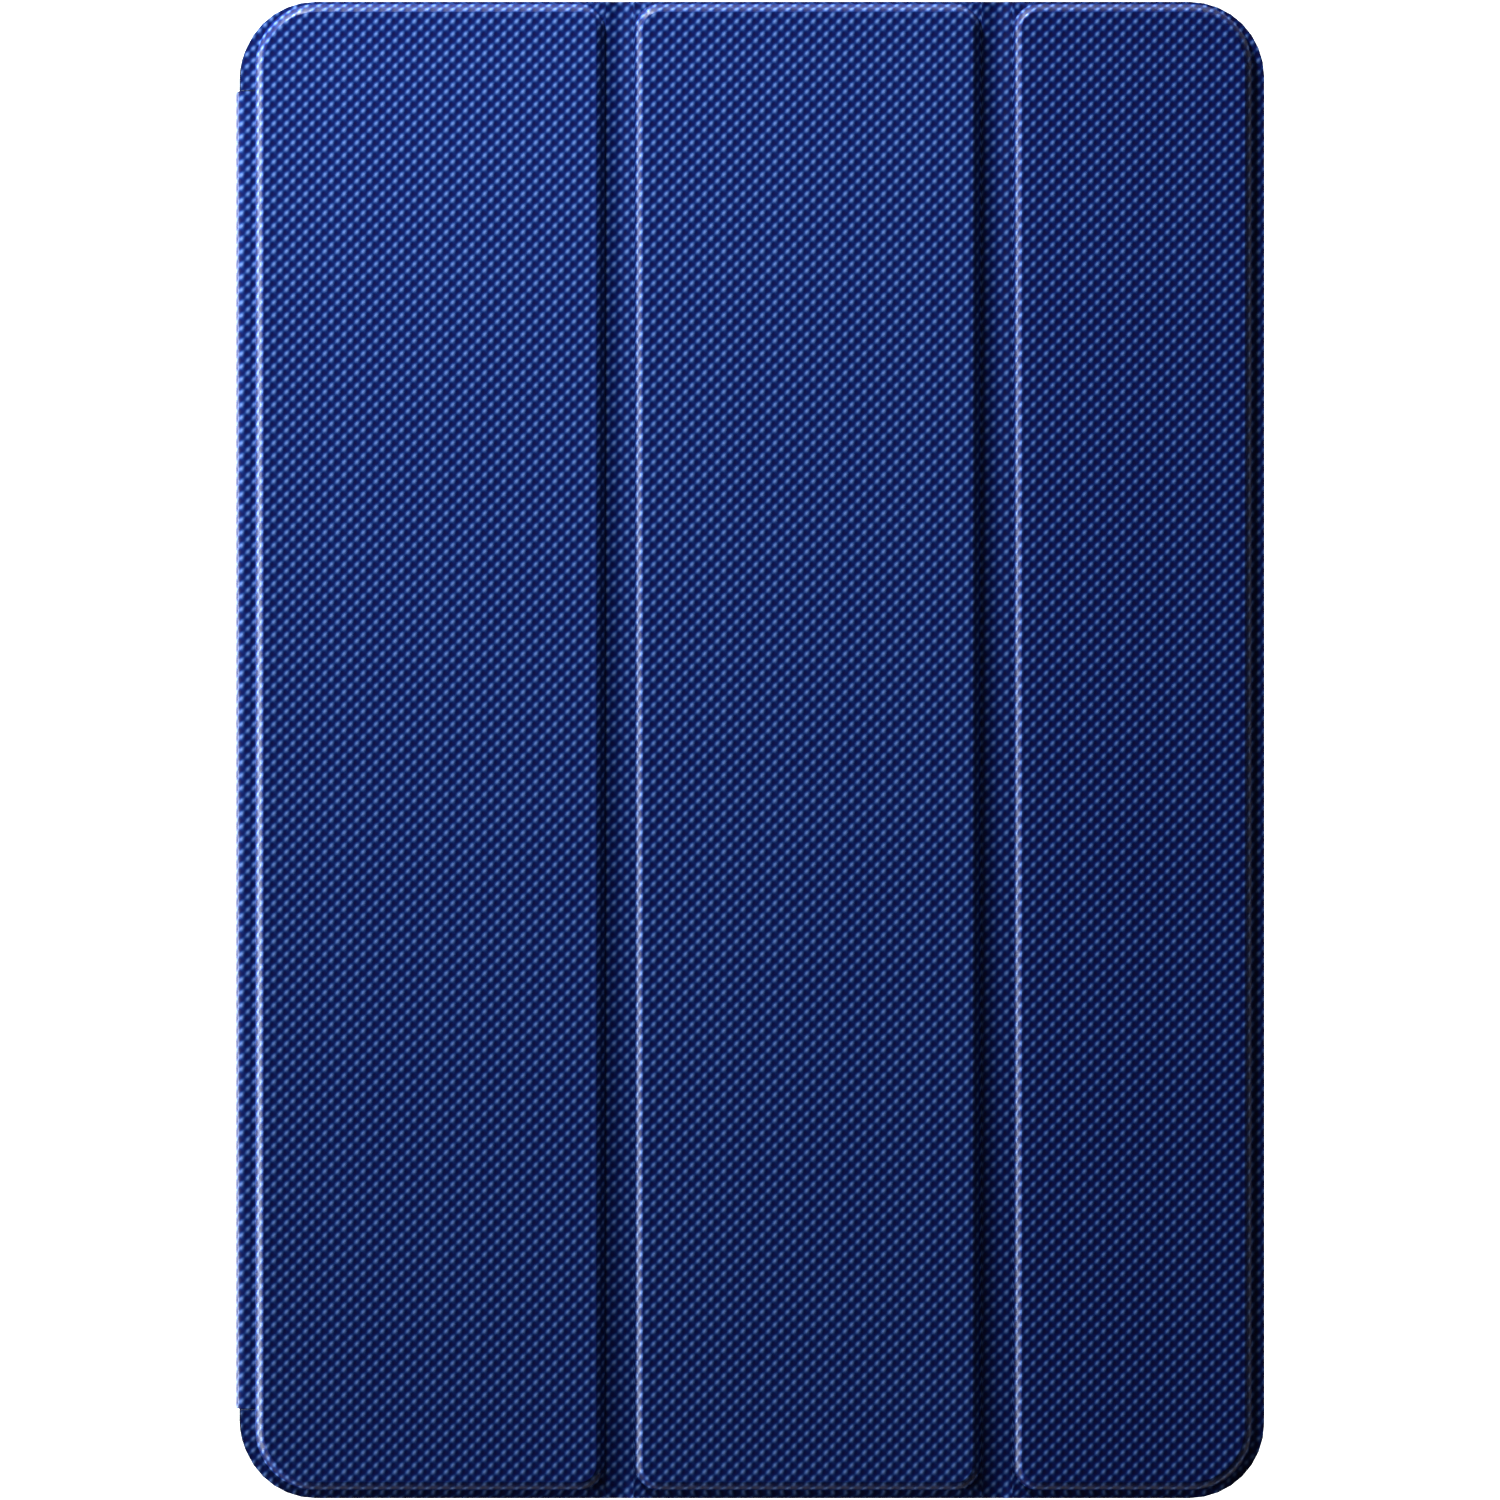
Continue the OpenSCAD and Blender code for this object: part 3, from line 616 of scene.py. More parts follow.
def hingeStrip(name):
    # a quarter turn of cloth, spun round the edge of the case
    shape = hinge[name]
    square = shape["square"]
    low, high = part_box(shape["node"])
    radius = shape["round"]
    centre = (low.x + radius, low.z if shape["from"] == 90 else low.z + radius)
    startAngle = math.radians(shape["from"])
    edge = (centre[0] + radius * math.cos(startAngle), centre[1] + radius * math.sin(startAngle))
    clearSelection()
    bpy.ops.mesh.primitive_plane_add(size=1, location=(0, 0, 0))
    strip = bpy.context.object
    strip.name = strip.data.name = name
    strip.scale = (1, high.y - low.y, 1)
    strip.location = (edge[0] - 0.5, (low.y + high.y) / 2, edge[1])
    settle(strip)
    bpy.ops.object.mode_set(mode="EDIT")
    bpy.ops.mesh.select_mode(type="VERT")
    selectWhere(strip, "verts", lambda v: v.co.x < edge[0] - 0.5)
    bpy.ops.mesh.delete(type="VERT")
    bpy.ops.mesh.select_all(action="SELECT")
    bpy.ops.mesh.spin(steps=hinge["steps"], angle=math.pi / 2, center=(centre[0], 0, centre[1]),
                      axis=(0, 1, 0))
    bpy.ops.mesh.select_all(action="SELECT")
    bpy.ops.mesh.remove_doubles(threshold=1e-7)
    bpy.ops.mesh.normals_make_consistent(inside=False)
    bpy.ops.object.mode_set(mode="OBJECT")
    outside = strip.data.polygons[0]
    if (Vector((outside.center.x, outside.center.z)) - Vector(centre)).dot(
            Vector((outside.normal.x, outside.normal.z))) < 0:
        bpy.ops.object.mode_set(mode="EDIT")
        bpy.ops.mesh.flip_normals()
        bpy.ops.object.mode_set(mode="OBJECT")

    def placeOf(co):
        turned = (math.atan2(co.z - centre[1], co.x - centre[0]) - startAngle) % (2 * math.pi)
        turned = 0 if turned > 6 else turned
        length = turnLength / (math.pi / 2) if square > 2 else radius
        return clothStart("panel_1") + shape["clothAt"] - length * turned, co.y

    layCloth(strip, placeOf)
    for vert in strip.data.vertices:
        # pulled out towards the corner, as cloth is when it is pressed over a board's edge
        spoke = Vector((vert.co.x - centre[0], vert.co.z - centre[1])) / radius
        pull = (abs(spoke[0]) ** square + abs(spoke[1]) ** square) ** (-1 / square)
        vert.co.x = centre[0] + spoke[0] * radius * pull
        vert.co.z = centre[1] + spoke[1] * radius * pull
    backWithLining(strip, shape["thickness"] - skin["fit"])
    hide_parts(shape["node"])
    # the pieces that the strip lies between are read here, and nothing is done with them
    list(shape["between"])
    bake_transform(strip)


hingeStrip("upper_hinge")
hingeStrip("lower_hinge")


def standingSheet(name, low, high, x, facing):
    # a level sheet turned up on its edge, facing left (-1) or right (1)
    clearSelection()
    bpy.ops.mesh.primitive_grid_add(x_subdivisions=2, y_subdivisions=2, size=1)
    sheet = bpy.context.object
    sheet.name = sheet.data.name = name
    sheet.scale = (high.z - low.z, high.y - low.y, 1)
    sheet.rotation_euler = (0, facing * math.pi / 2, 0)
    sheet.location = (x, (low.y + high.y) / 2, (low.z + high.z) / 2)
    settle(sheet)
    return sheet


def spineCloth():
    low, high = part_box("spine_skin")
    skinPiece = standingSheet("spine_cloth", low, high, low.x, -1)
    top = clothStart("panel_1") + notchX - clothRise - turnLength
    layCloth(skinPiece, lambda co: (top - (high.z - co.z), co.y))
    useModifier(skinPiece, "SOLIDIFY", thickness=high.x - low.x - skin["fit"], offset=-1)
    if skinPiece.bound_box[0][0] < low.x - 1e-5:
        raise SystemExit("the spine's cloth faces inwards")
    smooth(skinPiece, 40)
    finishPiece(skinPiece, "spine", "woven_skin", ["spine_skin"])


spineCloth()


def backFlap():
    # the end of the cloth, glued into the tray's back
    low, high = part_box("back_flap_skin")
    flap = roundedPlane("back_flap", (low.x, high.x), (low.y, high.y), low.z,
                        [0.1 * mm, 3 * mm, 3 * mm, 0.1 * mm])
    editWhole()
    bpy.ops.mesh.flip_normals()
    bpy.ops.object.mode_set(mode="OBJECT")
    turn = hinge["lower_hinge"]
    end = turn["clothAt"] - turn["round"] * math.pi / 2 + clothStart("panel_1")
    layCloth(flap, lambda co: (end - (co.x - low.x), co.y))
    useModifier(flap, "SOLIDIFY", thickness=high.z - low.z - skin["fit"], offset=-1)
    ease(flap, skin["clothEdge"])
    smooth(flap, 40)
    finishPiece(flap, "tray", "woven_skin", ["back_flap_skin"])


backFlap()


def spineInnerCloth():
    # the lining on the tray's side of the spine
    low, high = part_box("spine_lining")
    inner = standingSheet("spine_inner_cloth", low, high, high.x, 1)
    layCloth(inner, lambda co: (co.z, co.y))
    useModifier(inner, "SOLIDIFY", thickness=high.x - low.x - skin["fit"], offset=-1)
    smooth(inner, 40)
    finishPiece(inner, "spine", "inner_lining", ["spine_lining"])


spineInnerCloth()
print("cover laid round the spine")


def roundedBlock(name, x, y, z, radii, easing=(), segments=8):
    # a closed block with round corners, its top edge eased by steps of (in, up)
    block = roundedPlane(name, x, y, z[0], radii, segments)
    straight = z[1] - z[0] - sum(rise for _, rise in easing)
    editWhole("FACE")
    bpy.ops.mesh.extrude_region_move(TRANSFORM_OT_translate={"value": (0, 0, straight)})
    for inward, rise in easing:
        bpy.ops.mesh.inset(thickness=inward, depth=rise)
    closeUp()
    return block


def closeUp():
    # fills what is still open and turns every face outwards
    bpy.ops.mesh.select_all(action="SELECT")
    bpy.ops.mesh.fill_holes(sides=0)
    bpy.ops.mesh.select_all(action="SELECT")
    bpy.ops.mesh.normals_make_consistent(inside=False)
    bpy.ops.object.mode_set(mode="OBJECT")


def cylinder(radius, depth, place):
    clearSelection()
    bpy.ops.mesh.primitive_cylinder_add(vertices=32, radius=radius, depth=depth, location=place)
    return bpy.context.object


def cutAway(thing, cutters):
    for cutter in cutters:
        useModifier(thing, "BOOLEAN", operation="DIFFERENCE", solver="EXACT", object=cutter)
        bpy.data.objects.remove(cutter)


def joined(things, name):
    pick(*things)
    if len(things) > 1:
        bpy.ops.object.join()
    whole = bpy.context.object
    whole.name = whole.data.name = name
    return whole


def loosePlaces(node):
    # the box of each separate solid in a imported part
    packedCopy(node, "copy")
    bpy.ops.mesh.separate(type="LOOSE")
    bpy.ops.object.mode_set(mode="OBJECT")
    solids = list(bpy.context.selected_objects)
    boxes = [(Vector(solid.bound_box[0]), Vector(solid.bound_box[6])) for solid in solids]
    for solid in solids:
        bpy.data.objects.remove(solid)
    return boxes


tray = {
    "floor": 1.6 * mm,
    "bayDepth": 9.8 * mm,
    "lipReach": 1.2 * mm,
    "endWall": 1.5 * mm,
    "freeWall": 1.0 * mm,
    "hingeWall": 2.3 * mm,
    "backRound": 1.6 * mm,
    "eased": 0.16 * mm,
    "camera": (56 * mm, 86 * mm, 15 * mm),
    "slotMiddle": 6.4 * mm,
    "slotHeight": 6.4 * mm,
    # middle along the wall, length, which wall
    "slots": [(0, 13 * mm, (0, -1)), (44 * mm, 16 * mm, (0, 1)), (66 * mm, 26 * mm, (1, 0))],
    "slotRound": 1.6 * mm,
    "spineGap": {"end": 0.25 * mm, "side": 0.2 * mm, "slope": (0.7 * mm, 1.1 * mm)},
    "speakers": {"from": 28 * mm, "apart": 5 * mm, "size": (3.4 * mm, 1.8 * mm)},
}


def slotCutter(place, size, side, corner):
    # a round-cornered slot straight through the wall on that side
    cutter = roundedBlock("slot", (-size[0] / 2, size[0] / 2), (-size[1] / 2, size[1] / 2), (-3 * mm, 3 * mm),
                          [corner] * 4, segments=4)
    cutter.rotation_euler = (math.pi / 2, 0, math.atan2(side[1], side[0]) + math.pi / 2)
    cutter.location = place
    settle(cutter)
    return cutter


def plainCutter(x, y, z):
    clearSelection()
    bpy.ops.mesh.primitive_cube_add(size=1, location=(sum(x) / 2, sum(y) / 2, sum(z) / 2))
    cutter = bpy.context.object
    cutter.scale = (x[1] - x[0], y[1] - y[0], z[1] - z[0])
    settle(cutter)
    return cutter


def spineRoom(low):
    # the strips, the spine and the flap lie in a step of the tray
    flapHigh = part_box("back_flap_skin")[1]
    gap = tray["spineGap"]
    half = spineHigh.y + gap["end"]
    wall = spineHigh.x + gap["side"]
    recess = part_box("flap_tape")[1].z
    side = plainCutter((low.x - 2 * mm, wall), (-half, half), (-2 * mm, 20 * mm))
    under = plainCutter((low.x - 2 * mm, flapHigh.x + gap["side"]), (-half, half), (-2 * mm, recess))
    # the slope between the two clears the cloth's quarter turn
    slope = gap["slope"]
    turn = math.atan2(slope[0], slope[1])
    clearSelection()
    bpy.ops.mesh.primitive_cube_add(size=1)
    corner = bpy.context.object
    corner.scale = (2 * mm, 2 * half, 2 * mm)
    corner.rotation_euler = (0, -turn, 0)
    corner.location = (wall + slope[0] / 2 - math.cos(turn) * mm, 0,
                       recess + slope[1] / 2 - math.sin(turn) * mm)
    settle(corner)
    return [side, under, corner]


def trayShell():
    low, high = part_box("tray_shell")
    corner = skin["caseRound"]
    shell = roundedBlock("tray", (low.x, high.x), (low.y, high.y), (-high.z, 0), [corner] * 4,
                         quarterSteps(tray["backRound"], 6), 12)
    shell.rotation_euler = (math.pi, 0, 0)
    settle(shell)
    bayX = (low.x + tray["hingeWall"], high.x - tray["freeWall"])
    bayY = (low.y + tray["endWall"], high.y - tray["endWall"])
    bayTop = tray["floor"] + tray["bayDepth"]
    bayRound = corner - tray["endWall"]
    reach = tray["lipReach"]
    cutters = [
        roundedBlock("bay", bayX, bayY, (tray["floor"], bayTop), [bayRound] * 4, segments=12),
        roundedBlock("mouth", (bayX[0] + reach, bayX[1] - reach), (bayY[0] + reach, bayY[1] - reach),
                     (bayTop - 1 * mm, high.z + 1 * mm), [bayRound - reach] * 4, segments=12),
    ]
    x, y, side = tray["camera"]
    cutters.append(roundedBlock("camera", (x - side / 2, x + side / 2), (y - side / 2, y + side / 2),
                                (-1 * mm, tray["floor"] + 1 * mm), [side / 3] * 4))
    middle = tray["slotMiddle"]
    for along, length, wall in tray["slots"]:
        place = (along, wall[1] * high.y, middle) if wall[1] else (high.x, along, middle)
        cutters.append(slotCutter(place, (length, tray["slotHeight"]), wall,
                                  tray["slotRound"]))
    speakers = tray["speakers"]
    for side in (-1, 1):
        for step in (-1.5, -0.5, 0.5, 1.5):
            place = (side * speakers["from"] + step * speakers["apart"], low.y, middle)
            cutters.append(slotCutter(place, speakers["size"], (0, -1), 0.85 * mm))
    cutAway(shell, cutters + spineRoom(low))
    ease(shell, tray["eased"], 40)
    smooth(shell, 35)
    finishPiece(shell, "tray", "tray_plastic", ["tray_shell"])
    print("tray faces:", len(shell.data.polygons))


trayShell()

caseLow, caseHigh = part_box("keyboard_back_case")
# in the keyboard's own frame x runs along the rows, y away from the typist and z out through the keys
keyboardPlace = Matrix(((0, -1, 0, 0), (-1, 0, 0, 0), (0, 0, -1, caseHigh.z), (0, 0, 0, 1)))
keyboard = {"corner": 8 * mm, "wall": 1.2 * mm, "floor": 0.8 * mm, "round": 0.8 * mm, "eased": 0.12 * mm,
            "switchTravel": 4 * mm, "switchGap": 0.3 * mm, "holeGap": 0.1 * mm, "portGap": 0.05 * mm}


def ownFrame(low, high):
    # a packed box, seen in the keyboard's own frame
    return Vector((-high.y, -high.x, caseHigh.z - high.z)), Vector((-low.y, -low.x, caseHigh.z - low.z))


def keyboardCase():
    corner = keyboard["corner"]
    wall = keyboard["wall"]
    case = roundedBlock("keyboard_shell", (caseLow.x, caseHigh.x), (caseLow.y, caseHigh.y),
                        (caseLow.z, caseHigh.z), [corner] * 4, quarterSteps(keyboard["round"], 4), 10)
    hollow = roundedBlock("hollow", (caseLow.x + wall, caseHigh.x - wall),
                          (caseLow.y + wall, caseHigh.y - wall),
                          (caseLow.z - 1 * mm, caseHigh.z - keyboard["floor"]),
                          [corner - wall] * 4, segments=10)
    cutters = [hollow]
    for low, high in loosePlaces("case_screws"):
        place = ((low.x + high.x) / 2, (low.y + high.y) / 2, caseHigh.z)
        cutters.append(cylinder((high.x - low.x) / 2 + keyboard["holeGap"], 4 * mm, place))
    knobLow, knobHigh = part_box("power_switch_slider")
    gap = keyboard["holeGap"]
    beside = keyboard["switchGap"]
    through = (caseLow.y - 1 * mm, caseLow.y + 2 * mm)
    cutters.append(plainCutter((knobLow.x - keyboard["switchTravel"] - beside, knobHigh.x + beside), through,
                               (knobLow.z - gap, knobHigh.z + gap)))
    portLow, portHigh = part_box("charging_port")
    cutters.append(plainCutter((portLow.x - gap, portHigh.x + gap), through,
                               (caseLow.z - 1 * mm, portHigh.z + keyboard["portGap"])))
    cutAway(case, cutters)
    ease(case, keyboard["eased"], 40)
    smooth(case, 35)
    finishPiece(case, "keyboard", "case_plastic", ["keyboard_back_case"])
    print("keyboard shell faces:", len(case.data.polygons))


keyboardCase()

keys = {
    "corner": 1.4 * mm,
    "skirt": 0.45 * mm,
    "skirtHeight": 0.3 * mm,
    "edge": quarterSteps(0.35 * mm, 3),
    "dishFrom": 0.66 * mm,
    "dish": 0.06 * mm,
    "letterSize": 3.6 * mm,
    "wordSize": 2.5 * mm,
    "print": 0.012 * mm,
    "arrowSize": 1.2 * mm,
    "labels": {
        "function_keys": ["esc", *["F" + str(number) for number in range(1, 13)], "del"],
        "number_keys": list("`1234567890-="),
        "backspace_key": ["back"],
        "tab_key": ["tab"],
        "upper_letter_keys": list("QWERTYUIOP[]\\"),
        "caps_key": ["caps"],
        "home_letter_keys": list("ASDFGHJKL;'"),
        "enter_key": ["enter"],
        "left_shift_key": ["shift"],
        "lower_letter_keys": list("ZXCVBNM,./"),
        "right_shift_key": ["shift"],
        "modifier_keys": ["fn", "ctrl", "alt", "menu", "alt", "ctrl"],
        "space_bar": [""],
    },
    # which way each arrow points, in degrees
    "arrows": {"arrow_keys": [180, 90, 270, 0]},
}


def keyCap(width, depth, height):
    # centred and facing up: skirt, straight side, eased edge and a shallow dish
    skirt = keys["skirt"]
    cap = roundedPlane("cap", (-width / 2, width / 2), (-depth / 2, depth / 2), 0,
                       [keys["corner"] + skirt] * 4, 4)
    editWhole("FACE")
    bpy.ops.mesh.extrude_region_move(TRANSFORM_OT_translate={"value": (0, 0, keys["skirtHeight"])})
    bpy.ops.mesh.inset(thickness=skirt, depth=0)
    straight = height - keys["skirtHeight"] - sum(rise for _, rise in keys["edge"])
    bpy.ops.mesh.extrude_region_move(TRANSFORM_OT_translate={"value": (0, 0, straight)})
    for inward, rise in keys["edge"]:
        bpy.ops.mesh.inset(thickness=inward, depth=rise)
    bpy.ops.mesh.inset(thickness=keys["dishFrom"] / 3, depth=0)
    bpy.ops.mesh.inset(thickness=keys["dishFrom"], depth=-keys["dish"])
    closeUp()
    smooth(cap, 30)
    cap.data.materials.append(materials["keycap_plastic"])
    return cap


def legend(text, u, v, w):
    # one word printed on a key, a shade proud of its dish
    clearSelection()
    bpy.ops.object.text_add()
    word = bpy.context.object
    word.data.body = text
    word.data.size = keys["letterSize"] if len(text) == 1 else keys["wordSize"]
    word.data.align_x = "CENTER"
    word.data.align_y = "CENTER"
    word.data.extrude = keys["print"]
    word.data.resolution_u = 3
    return printed(word, u, v, w)


def arrowMark(degrees, u, v, w):
    clearSelection()
    bpy.ops.mesh.primitive_cylinder_add(vertices=3, radius=keys["arrowSize"], depth=2 * keys["print"],
                                        rotation=(0, 0, math.radians(degrees - 90)))
    return printed(bpy.context.object, u, v, w)


def printed(mark, u, v, w):
    pick(mark)
    bpy.ops.object.convert(target="MESH")
    mark = bpy.context.object
    editWhole()
    bpy.ops.mesh.remove_doubles(threshold=1e-6)
    bpy.ops.object.mode_set(mode="OBJECT")
    mark.matrix_world = keyboardPlace @ Matrix.Translation((u, v, w)) @ mark.matrix_world
    settle(mark)
    mark.data.materials.clear()
    mark.data.materials.append(printMaterial)
    return mark


capShapes = {}


def keyGroup(node, labels, mark):
    boxes = [ownFrame(*box) for box in loosePlaces(node)]
    boxes.sort(key=lambda box: (round((box[0].x + box[1].x) / mm), -box[0].y))
    pieces = []
    for (low, high), label in zip(boxes, labels):
        size = (round(high.x - low.x, 5), round(high.y - low.y, 5))
        if size not in capShapes:
            capShapes[size] = keyCap(*size, high.z - low.z)
        cap = linkedCopy(capShapes[size])
        u, v = (low.x + high.x) / 2, (low.y + high.y) / 2
        cap.matrix_world = keyboardPlace @ Matrix.Translation((u, v, low.z))
        settle(cap)
        pieces.append(cap)
        if label != "":
            pieces.append(mark(label, u, v, high.z - keys["dish"]))
    group = joined(pieces, node.rsplit("_", 1)[0] + "_caps")
    finishPiece(group, bodyOf[node], "keycap_plastic", [node], keepLook=True)
    return [((low.x + high.x) / 2, (low.y + high.y) / 2) for low, high in boxes]


keyCentres = []
for nodeName, labels in keys["labels"].items():
    keyCentres += keyGroup(nodeName, labels, legend)
for nodeName, labels in keys["arrows"].items():
    keyCentres += keyGroup(nodeName, labels, arrowMark)
for shape in capShapes.values():
    bpy.data.objects.remove(shape)
print("keys made:", len(keyCentres))

dome = {"base": 2.4 * mm, "top": 1.3 * mm, "sides": 16, "film": 0.3 * mm, "filmRound": 2 * mm,
        "sunk": 0.02 * mm, "eased": 0.18 * mm}


def domeSheet():
    # one rubber dome under each key, on a thin sheet
    low, high = ownFrame(*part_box("dome_sheet"))
    film = roundedBlock("dome_film", (low.x, high.x), (low.y, high.y), (low.z, low.z + dome["film"]),
                        [dome["filmRound"]] * 4, segments=4)
    clearSelection()
    height = high.z - low.z - dome["film"] + dome["sunk"]
    bpy.ops.mesh.primitive_cone_add(vertices=dome["sides"], radius1=dome["base"], radius2=dome["top"],
                                    depth=height)
    first = bpy.context.object
    ease(first, dome["eased"], 30)
    pieces = [film]
    for u, v in keyCentres:
        one = linkedCopy(first)
        one.location = (u, v, high.z - height / 2)
        pieces.append(one)
    bpy.data.objects.remove(first)
    sheet = joined(pieces, "key_domes")
    settle(sheet)
    sheet.matrix_world = keyboardPlace @ sheet.matrix_world
    settle(sheet)
    smooth(sheet, 40)
    finishPiece(sheet, "keyboard", "dome_silicone", ["dome_sheet"])


domeSheet()

screw = {
    "recess": (1.9 * mm, 0.42 * mm, 0.4 * mm),      # the cross slot: length, width, depth
    "head": 0.7 * mm, "eased": 0.14 * mm, "shank": 0.68 * mm, "sunk": 0.05 * mm,
    "threads": 5, "bite": 0.82,
}


def caseScrews():
    boxes = loosePlaces("case_screws")
    low, high = boxes[0]
    radius = (high.x - low.x) / 2
    first = cylinder(radius, screw["head"], (0, 0, high.z - screw["head"] / 2))
    first.data.name = "screw"
    settle(first)
    ease(first, screw["eased"], 60, 3)
    length, width, deep = screw["recess"]
    cutAway(first, [plainCutter((-x / 2, x / 2), (-y / 2, y / 2), (high.z - deep, high.z + 1 * mm))
                    for x, y in ((length, width), (width, length))])
    # the thread: rings that step in and out down the shank
    clearSelection()
    bpy.ops.mesh.primitive_circle_add(vertices=24, radius=screw["shank"], fill_type="NGON",
                                      location=(0, 0, high.z - screw["head"] + screw["sunk"]))
    thread = bpy.context.object
    settle(thread)
    editWhole("FACE")
    drop = (high.z - screw["head"] - low.z) / (2 * screw["threads"])
    for step in range(2 * screw["threads"]):
        bpy.ops.mesh.extrude_region_move(TRANSFORM_OT_translate={"value": (0, 0, -drop)})
        size = screw["bite"] if step % 2 == 0 else 1 / screw["bite"]
        bpy.ops.transform.resize(value=(size, size, 1))
    closeUp()
    first = joined([first, thread], "screw")
    copies = []
    for boxLow, boxHigh in boxes:
        one = linkedCopy(first)
        one.location = ((boxLow.x + boxHigh.x) / 2, (boxLow.y + boxHigh.y) / 2, 0)
        copies.append(one)
    bpy.data.objects.remove(first)
    screws = joined(copies, "shell_screws")
    settle(screws)
    smooth(screws, 35)
    finishPiece(screws, "keyboard", "screw_steel", ["case_screws"])


caseScrews()


def screenBumpers():
    # soft studs that keep the keys off the screen
    pads = []
    for low, high in loosePlaces("screen_bumpers"):
        pads.append(cylinder((high.x - low.x) / 2, high.z - low.z, (low + high) / 2))
        settle(pads[-1])
    studs = joined(pads, "screen_studs")
    ease(studs, 0.35 * mm, 60, 4)
    smooth(studs, 40)
    finishPiece(studs, "keyboard", "soft_rubber", ["screen_bumpers"])


screenBumpers()


knobShape = {"inside": 0.1 * mm, "ribsApart": 0.8 * mm, "ribHalf": 0.2 * mm, "ribDeep": 0.5 * mm,
             "ribShort": 0.15 * mm, "eased": 0.1 * mm}


def switchKnob():
    # a small slider with three grip ribs
    low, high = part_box("power_switch_slider")
    knob = plainCutter((low.x, high.x), (low.y + knobShape["inside"], high.y), (low.z, high.z))
    ribs = []
    for step in (-1, 0, 1):
        middle = (low.x + high.x) / 2 + step * knobShape["ribsApart"]
        ribs.append(plainCutter((middle - knobShape["ribHalf"], middle + knobShape["ribHalf"]),
                                (low.y, low.y + knobShape["ribDeep"]),
                                (low.z + knobShape["ribShort"], high.z - knobShape["ribShort"])))
    knob = joined([knob, *ribs], "switch_slider")
    ease(knob, knobShape["eased"], 40)
    smooth(knob, 40)
    finishPiece(knob, bodyOf["power_switch_slider"], "switch_plastic",
                ["power_switch_slider"])


switchKnob()


tongueShape = {"side": 1.4 * mm, "front": 0.8 * mm, "back": 0.5 * mm, "half": 0.35 * mm,
               "radii": [0.4 * mm, 0.4 * mm, 0.05 * mm, 0.05 * mm], "round": 0.1 * mm}


def portTongue():
    low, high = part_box("charging_port")
    middle = (low.z + high.z) / 2
    side, half = tongueShape["side"], tongueShape["half"]
    tongue = roundedBlock("port_tongue", (low.x + side, high.x - side),
                          (low.y + tongueShape["front"], high.y - tongueShape["back"]),
                          (middle - half, middle + half), tongueShape["radii"],
                          quarterSteps(tongueShape["round"], 2), 3)
    smooth(tongue, 40)
    finishPiece(tongue, "keyboard", "switch_plastic")


portTongue()

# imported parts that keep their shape, with their hard edges eased
eased = {
    "spine_stiffener": ("spine_stay", 0.08 * mm),
    "flap_tape": ("flap_adhesive", 0.05 * mm),
    "panel_1_board": ("wide_pad_board", 0.14 * mm),
    "panel_2_board": ("middle_pad_board", 0.14 * mm),
    "panel_3_board": ("narrow_pad_board", 0.14 * mm),
    "panel_1_magnets": ("wide_pad_magnets", 0.2 * mm),
    "panel_3_magnets": ("narrow_pad_magnets", 0.2 * mm),
    "edge_magnets": ("closing_magnets", 0.2 * mm),
    "wake_magnet": ("sleep_magnet", 0.2 * mm),
    "keyboard_deck": ("keyboard_frame", 0.12 * mm),
    "base_plate": ("key_bed_plate", 0.08 * mm),
    "membrane_circuit": ("key_membrane", 0.05 * mm),
    "battery": ("battery_pouch", 0.4 * mm),
    "controller_board": ("control_board", 0.06 * mm),
    "charging_port": ("port_shell", 0.1 * mm),
    "status_lights": ("light_pipes", 0.1 * mm),
    "keyboard_feet": ("back_feet", 0.1 * mm),
    "keyboard_magnets": ("keyboard_catches", 0.2 * mm),
    "power_switch_body": ("switch_housing", 0.15 * mm),
}
for nodeName, (pieceName, width) in eased.items():
    piece = refined(nodeName, pieceName, width)
    finishPiece(piece, bodyOf[nodeName], slotOf[nodeName], [nodeName])
print("parts eased:", len(eased))


view = {"lens": 400, "sensor": 36, "across": 205.75 * mm}
cameraData = bpy.data.cameras.new("camera")
cameraData.lens = view["lens"]
cameraData.sensor_width = view["sensor"]
cameraData.clip_end = 50
camera = bpy.data.objects.new("camera", cameraData)
camera.location = (0, 0, padTop + view["across"] * view["lens"] / view["sensor"])
link(camera)
bpy.context.scene.camera = camera

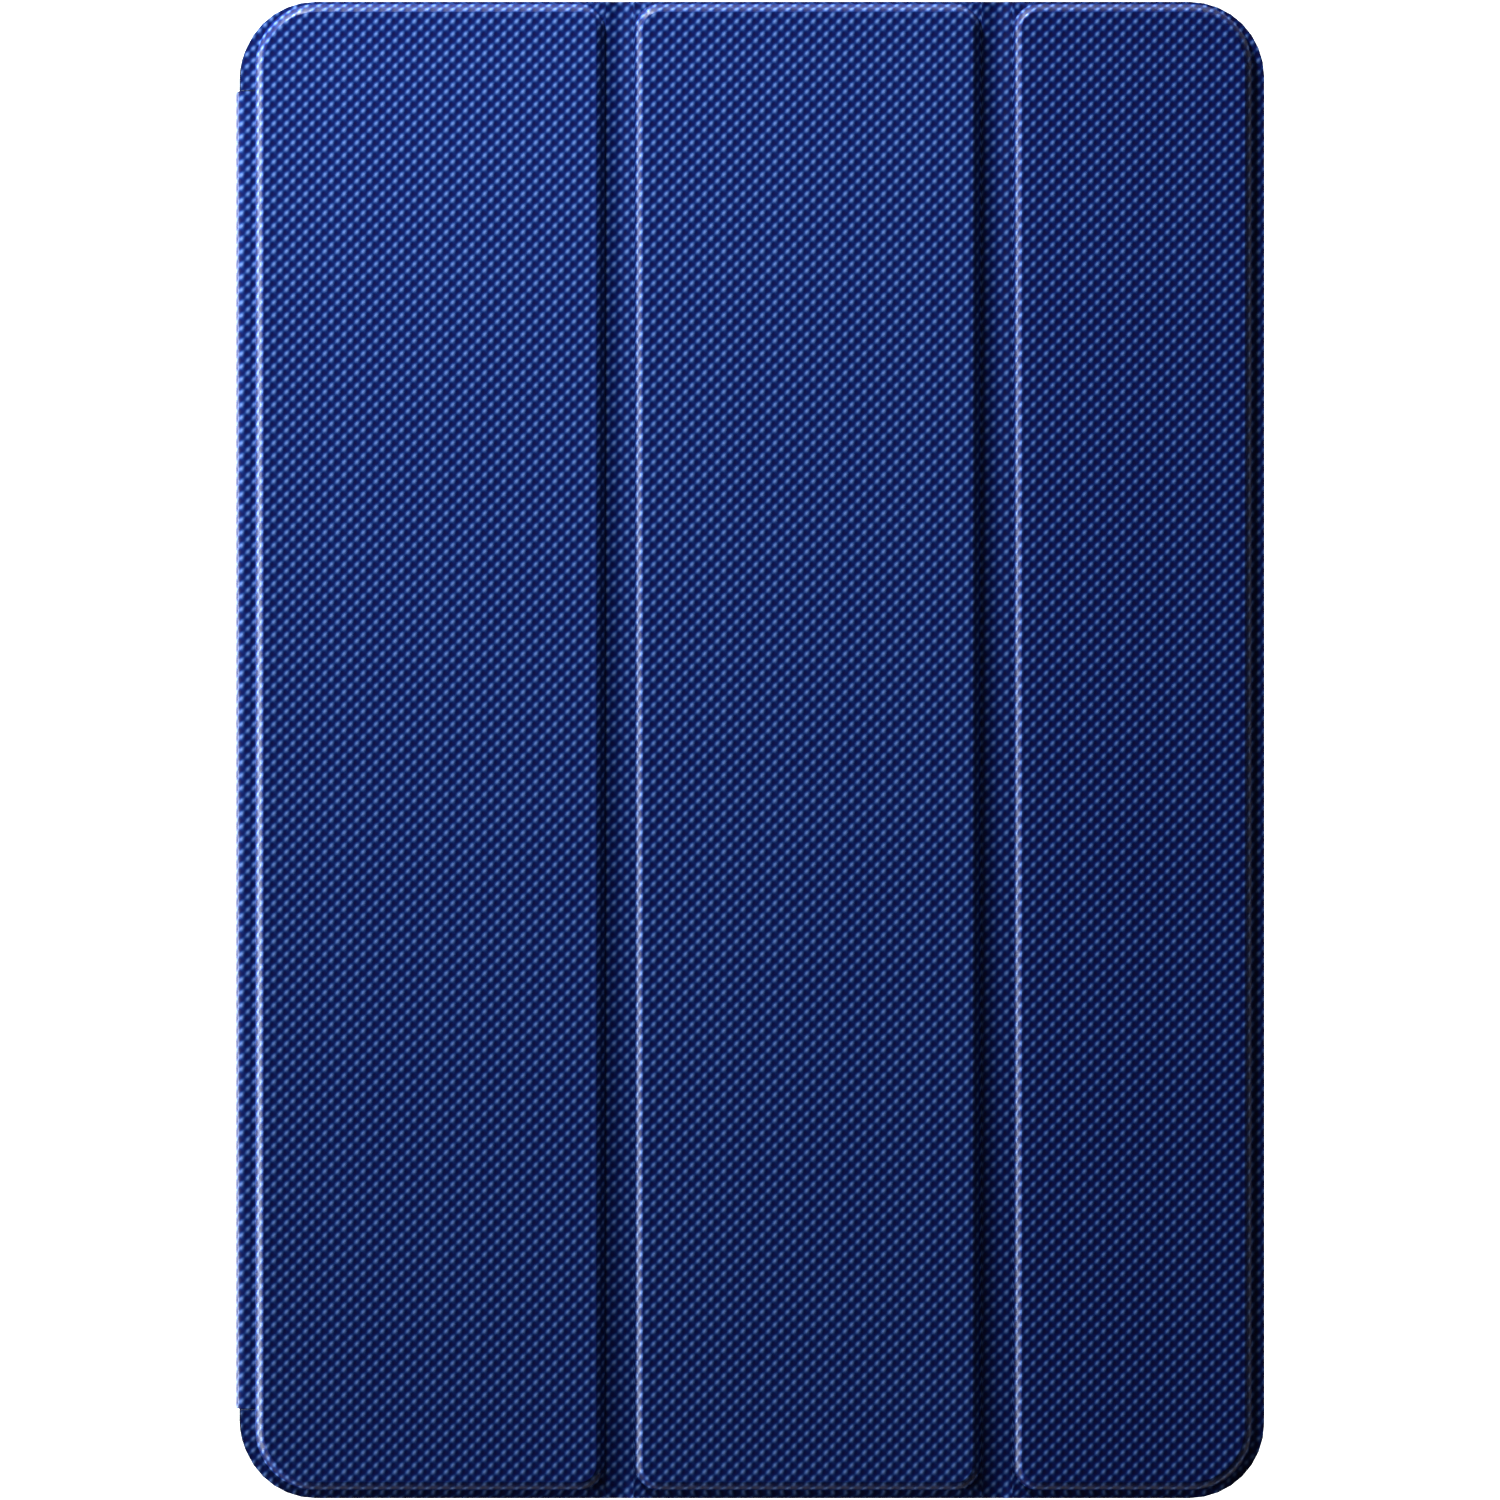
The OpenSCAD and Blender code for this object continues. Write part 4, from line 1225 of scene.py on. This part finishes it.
studio = {
    "sky": 0.05,
    "lamps": {
        # place, size, power, colour
        "keyLight": ((-0.17, 0.34, 0.16), (0.06, 0.06), 2.45, (0.93, 1, 1)),
        "edgeLight": ((-1.2, 0.0, 0.12), (1.0, 0.2), 35.0, (0.93, 1, 1)),
        "topLight": ((0.0, 0.6, 0.07), (0.5, 0.04), 1.6, (0.93, 1, 1)),
    },
    # low enough for the open cover to hang over the edge of a table
    "floor": {"level": -0.29, "size": 60, "glow": 0.97},
}
world = bpy.data.worlds.new("studio")
bpy.context.scene.world = world
world.use_nodes = True
# a white room to look at, which lights the case only a little
backdrop = world.node_tree.nodes["Background"]
backdrop.inputs["Color"].default_value = (1, 1, 1, 1)
seen = wire(world, "LightPath").outputs["Is Camera Ray"]
world.node_tree.links.new(maths(world, "MAXIMUM", seen, studio["sky"]), backdrop.inputs["Strength"])
for lampName, (place, size, power, colour) in studio["lamps"].items():
    lampData = bpy.data.lights.new(lampName, "AREA")
    lampData.shape = "RECTANGLE"
    lampData.size, lampData.size_y = size
    lampData.energy = power
    lampData.color = colour
    lamp = bpy.data.objects.new(lampName, lampData)
    lamp.location = place
    lamp.rotation_euler = (Vector((0, 0, foldTop)) - Vector(place)).to_track_quat("-Z", "Y").to_euler()
    link(lamp)
bpy.context.scene.view_settings.view_transform = "Standard"

clearSelection()
bpy.ops.mesh.primitive_plane_add(size=studio["floor"]["size"], location=(0, 0, studio["floor"]["level"]))
floor = bpy.context.object
floor.name = "floor"
floorMaterial = newMaterial("paleFloor", 0.8, Emission_Color=(1, 1, 1, 1),
                            Emission_Strength=studio["floor"]["glow"])
floorMaterial.node_tree.nodes["Principled BSDF"].inputs["Base Color"].default_value = (0.9, 0.9, 0.9, 1)
# seen from above only, so that the back of the case can be looked at
fromBelow = wire(floorMaterial, "NewGeometry").outputs["Backfacing"]
toShader(floorMaterial, "Alpha", maths(floorMaterial, "SUBTRACT", 1.0, fromBelow))
floor.data.materials.append(floorMaterial)

print("done")
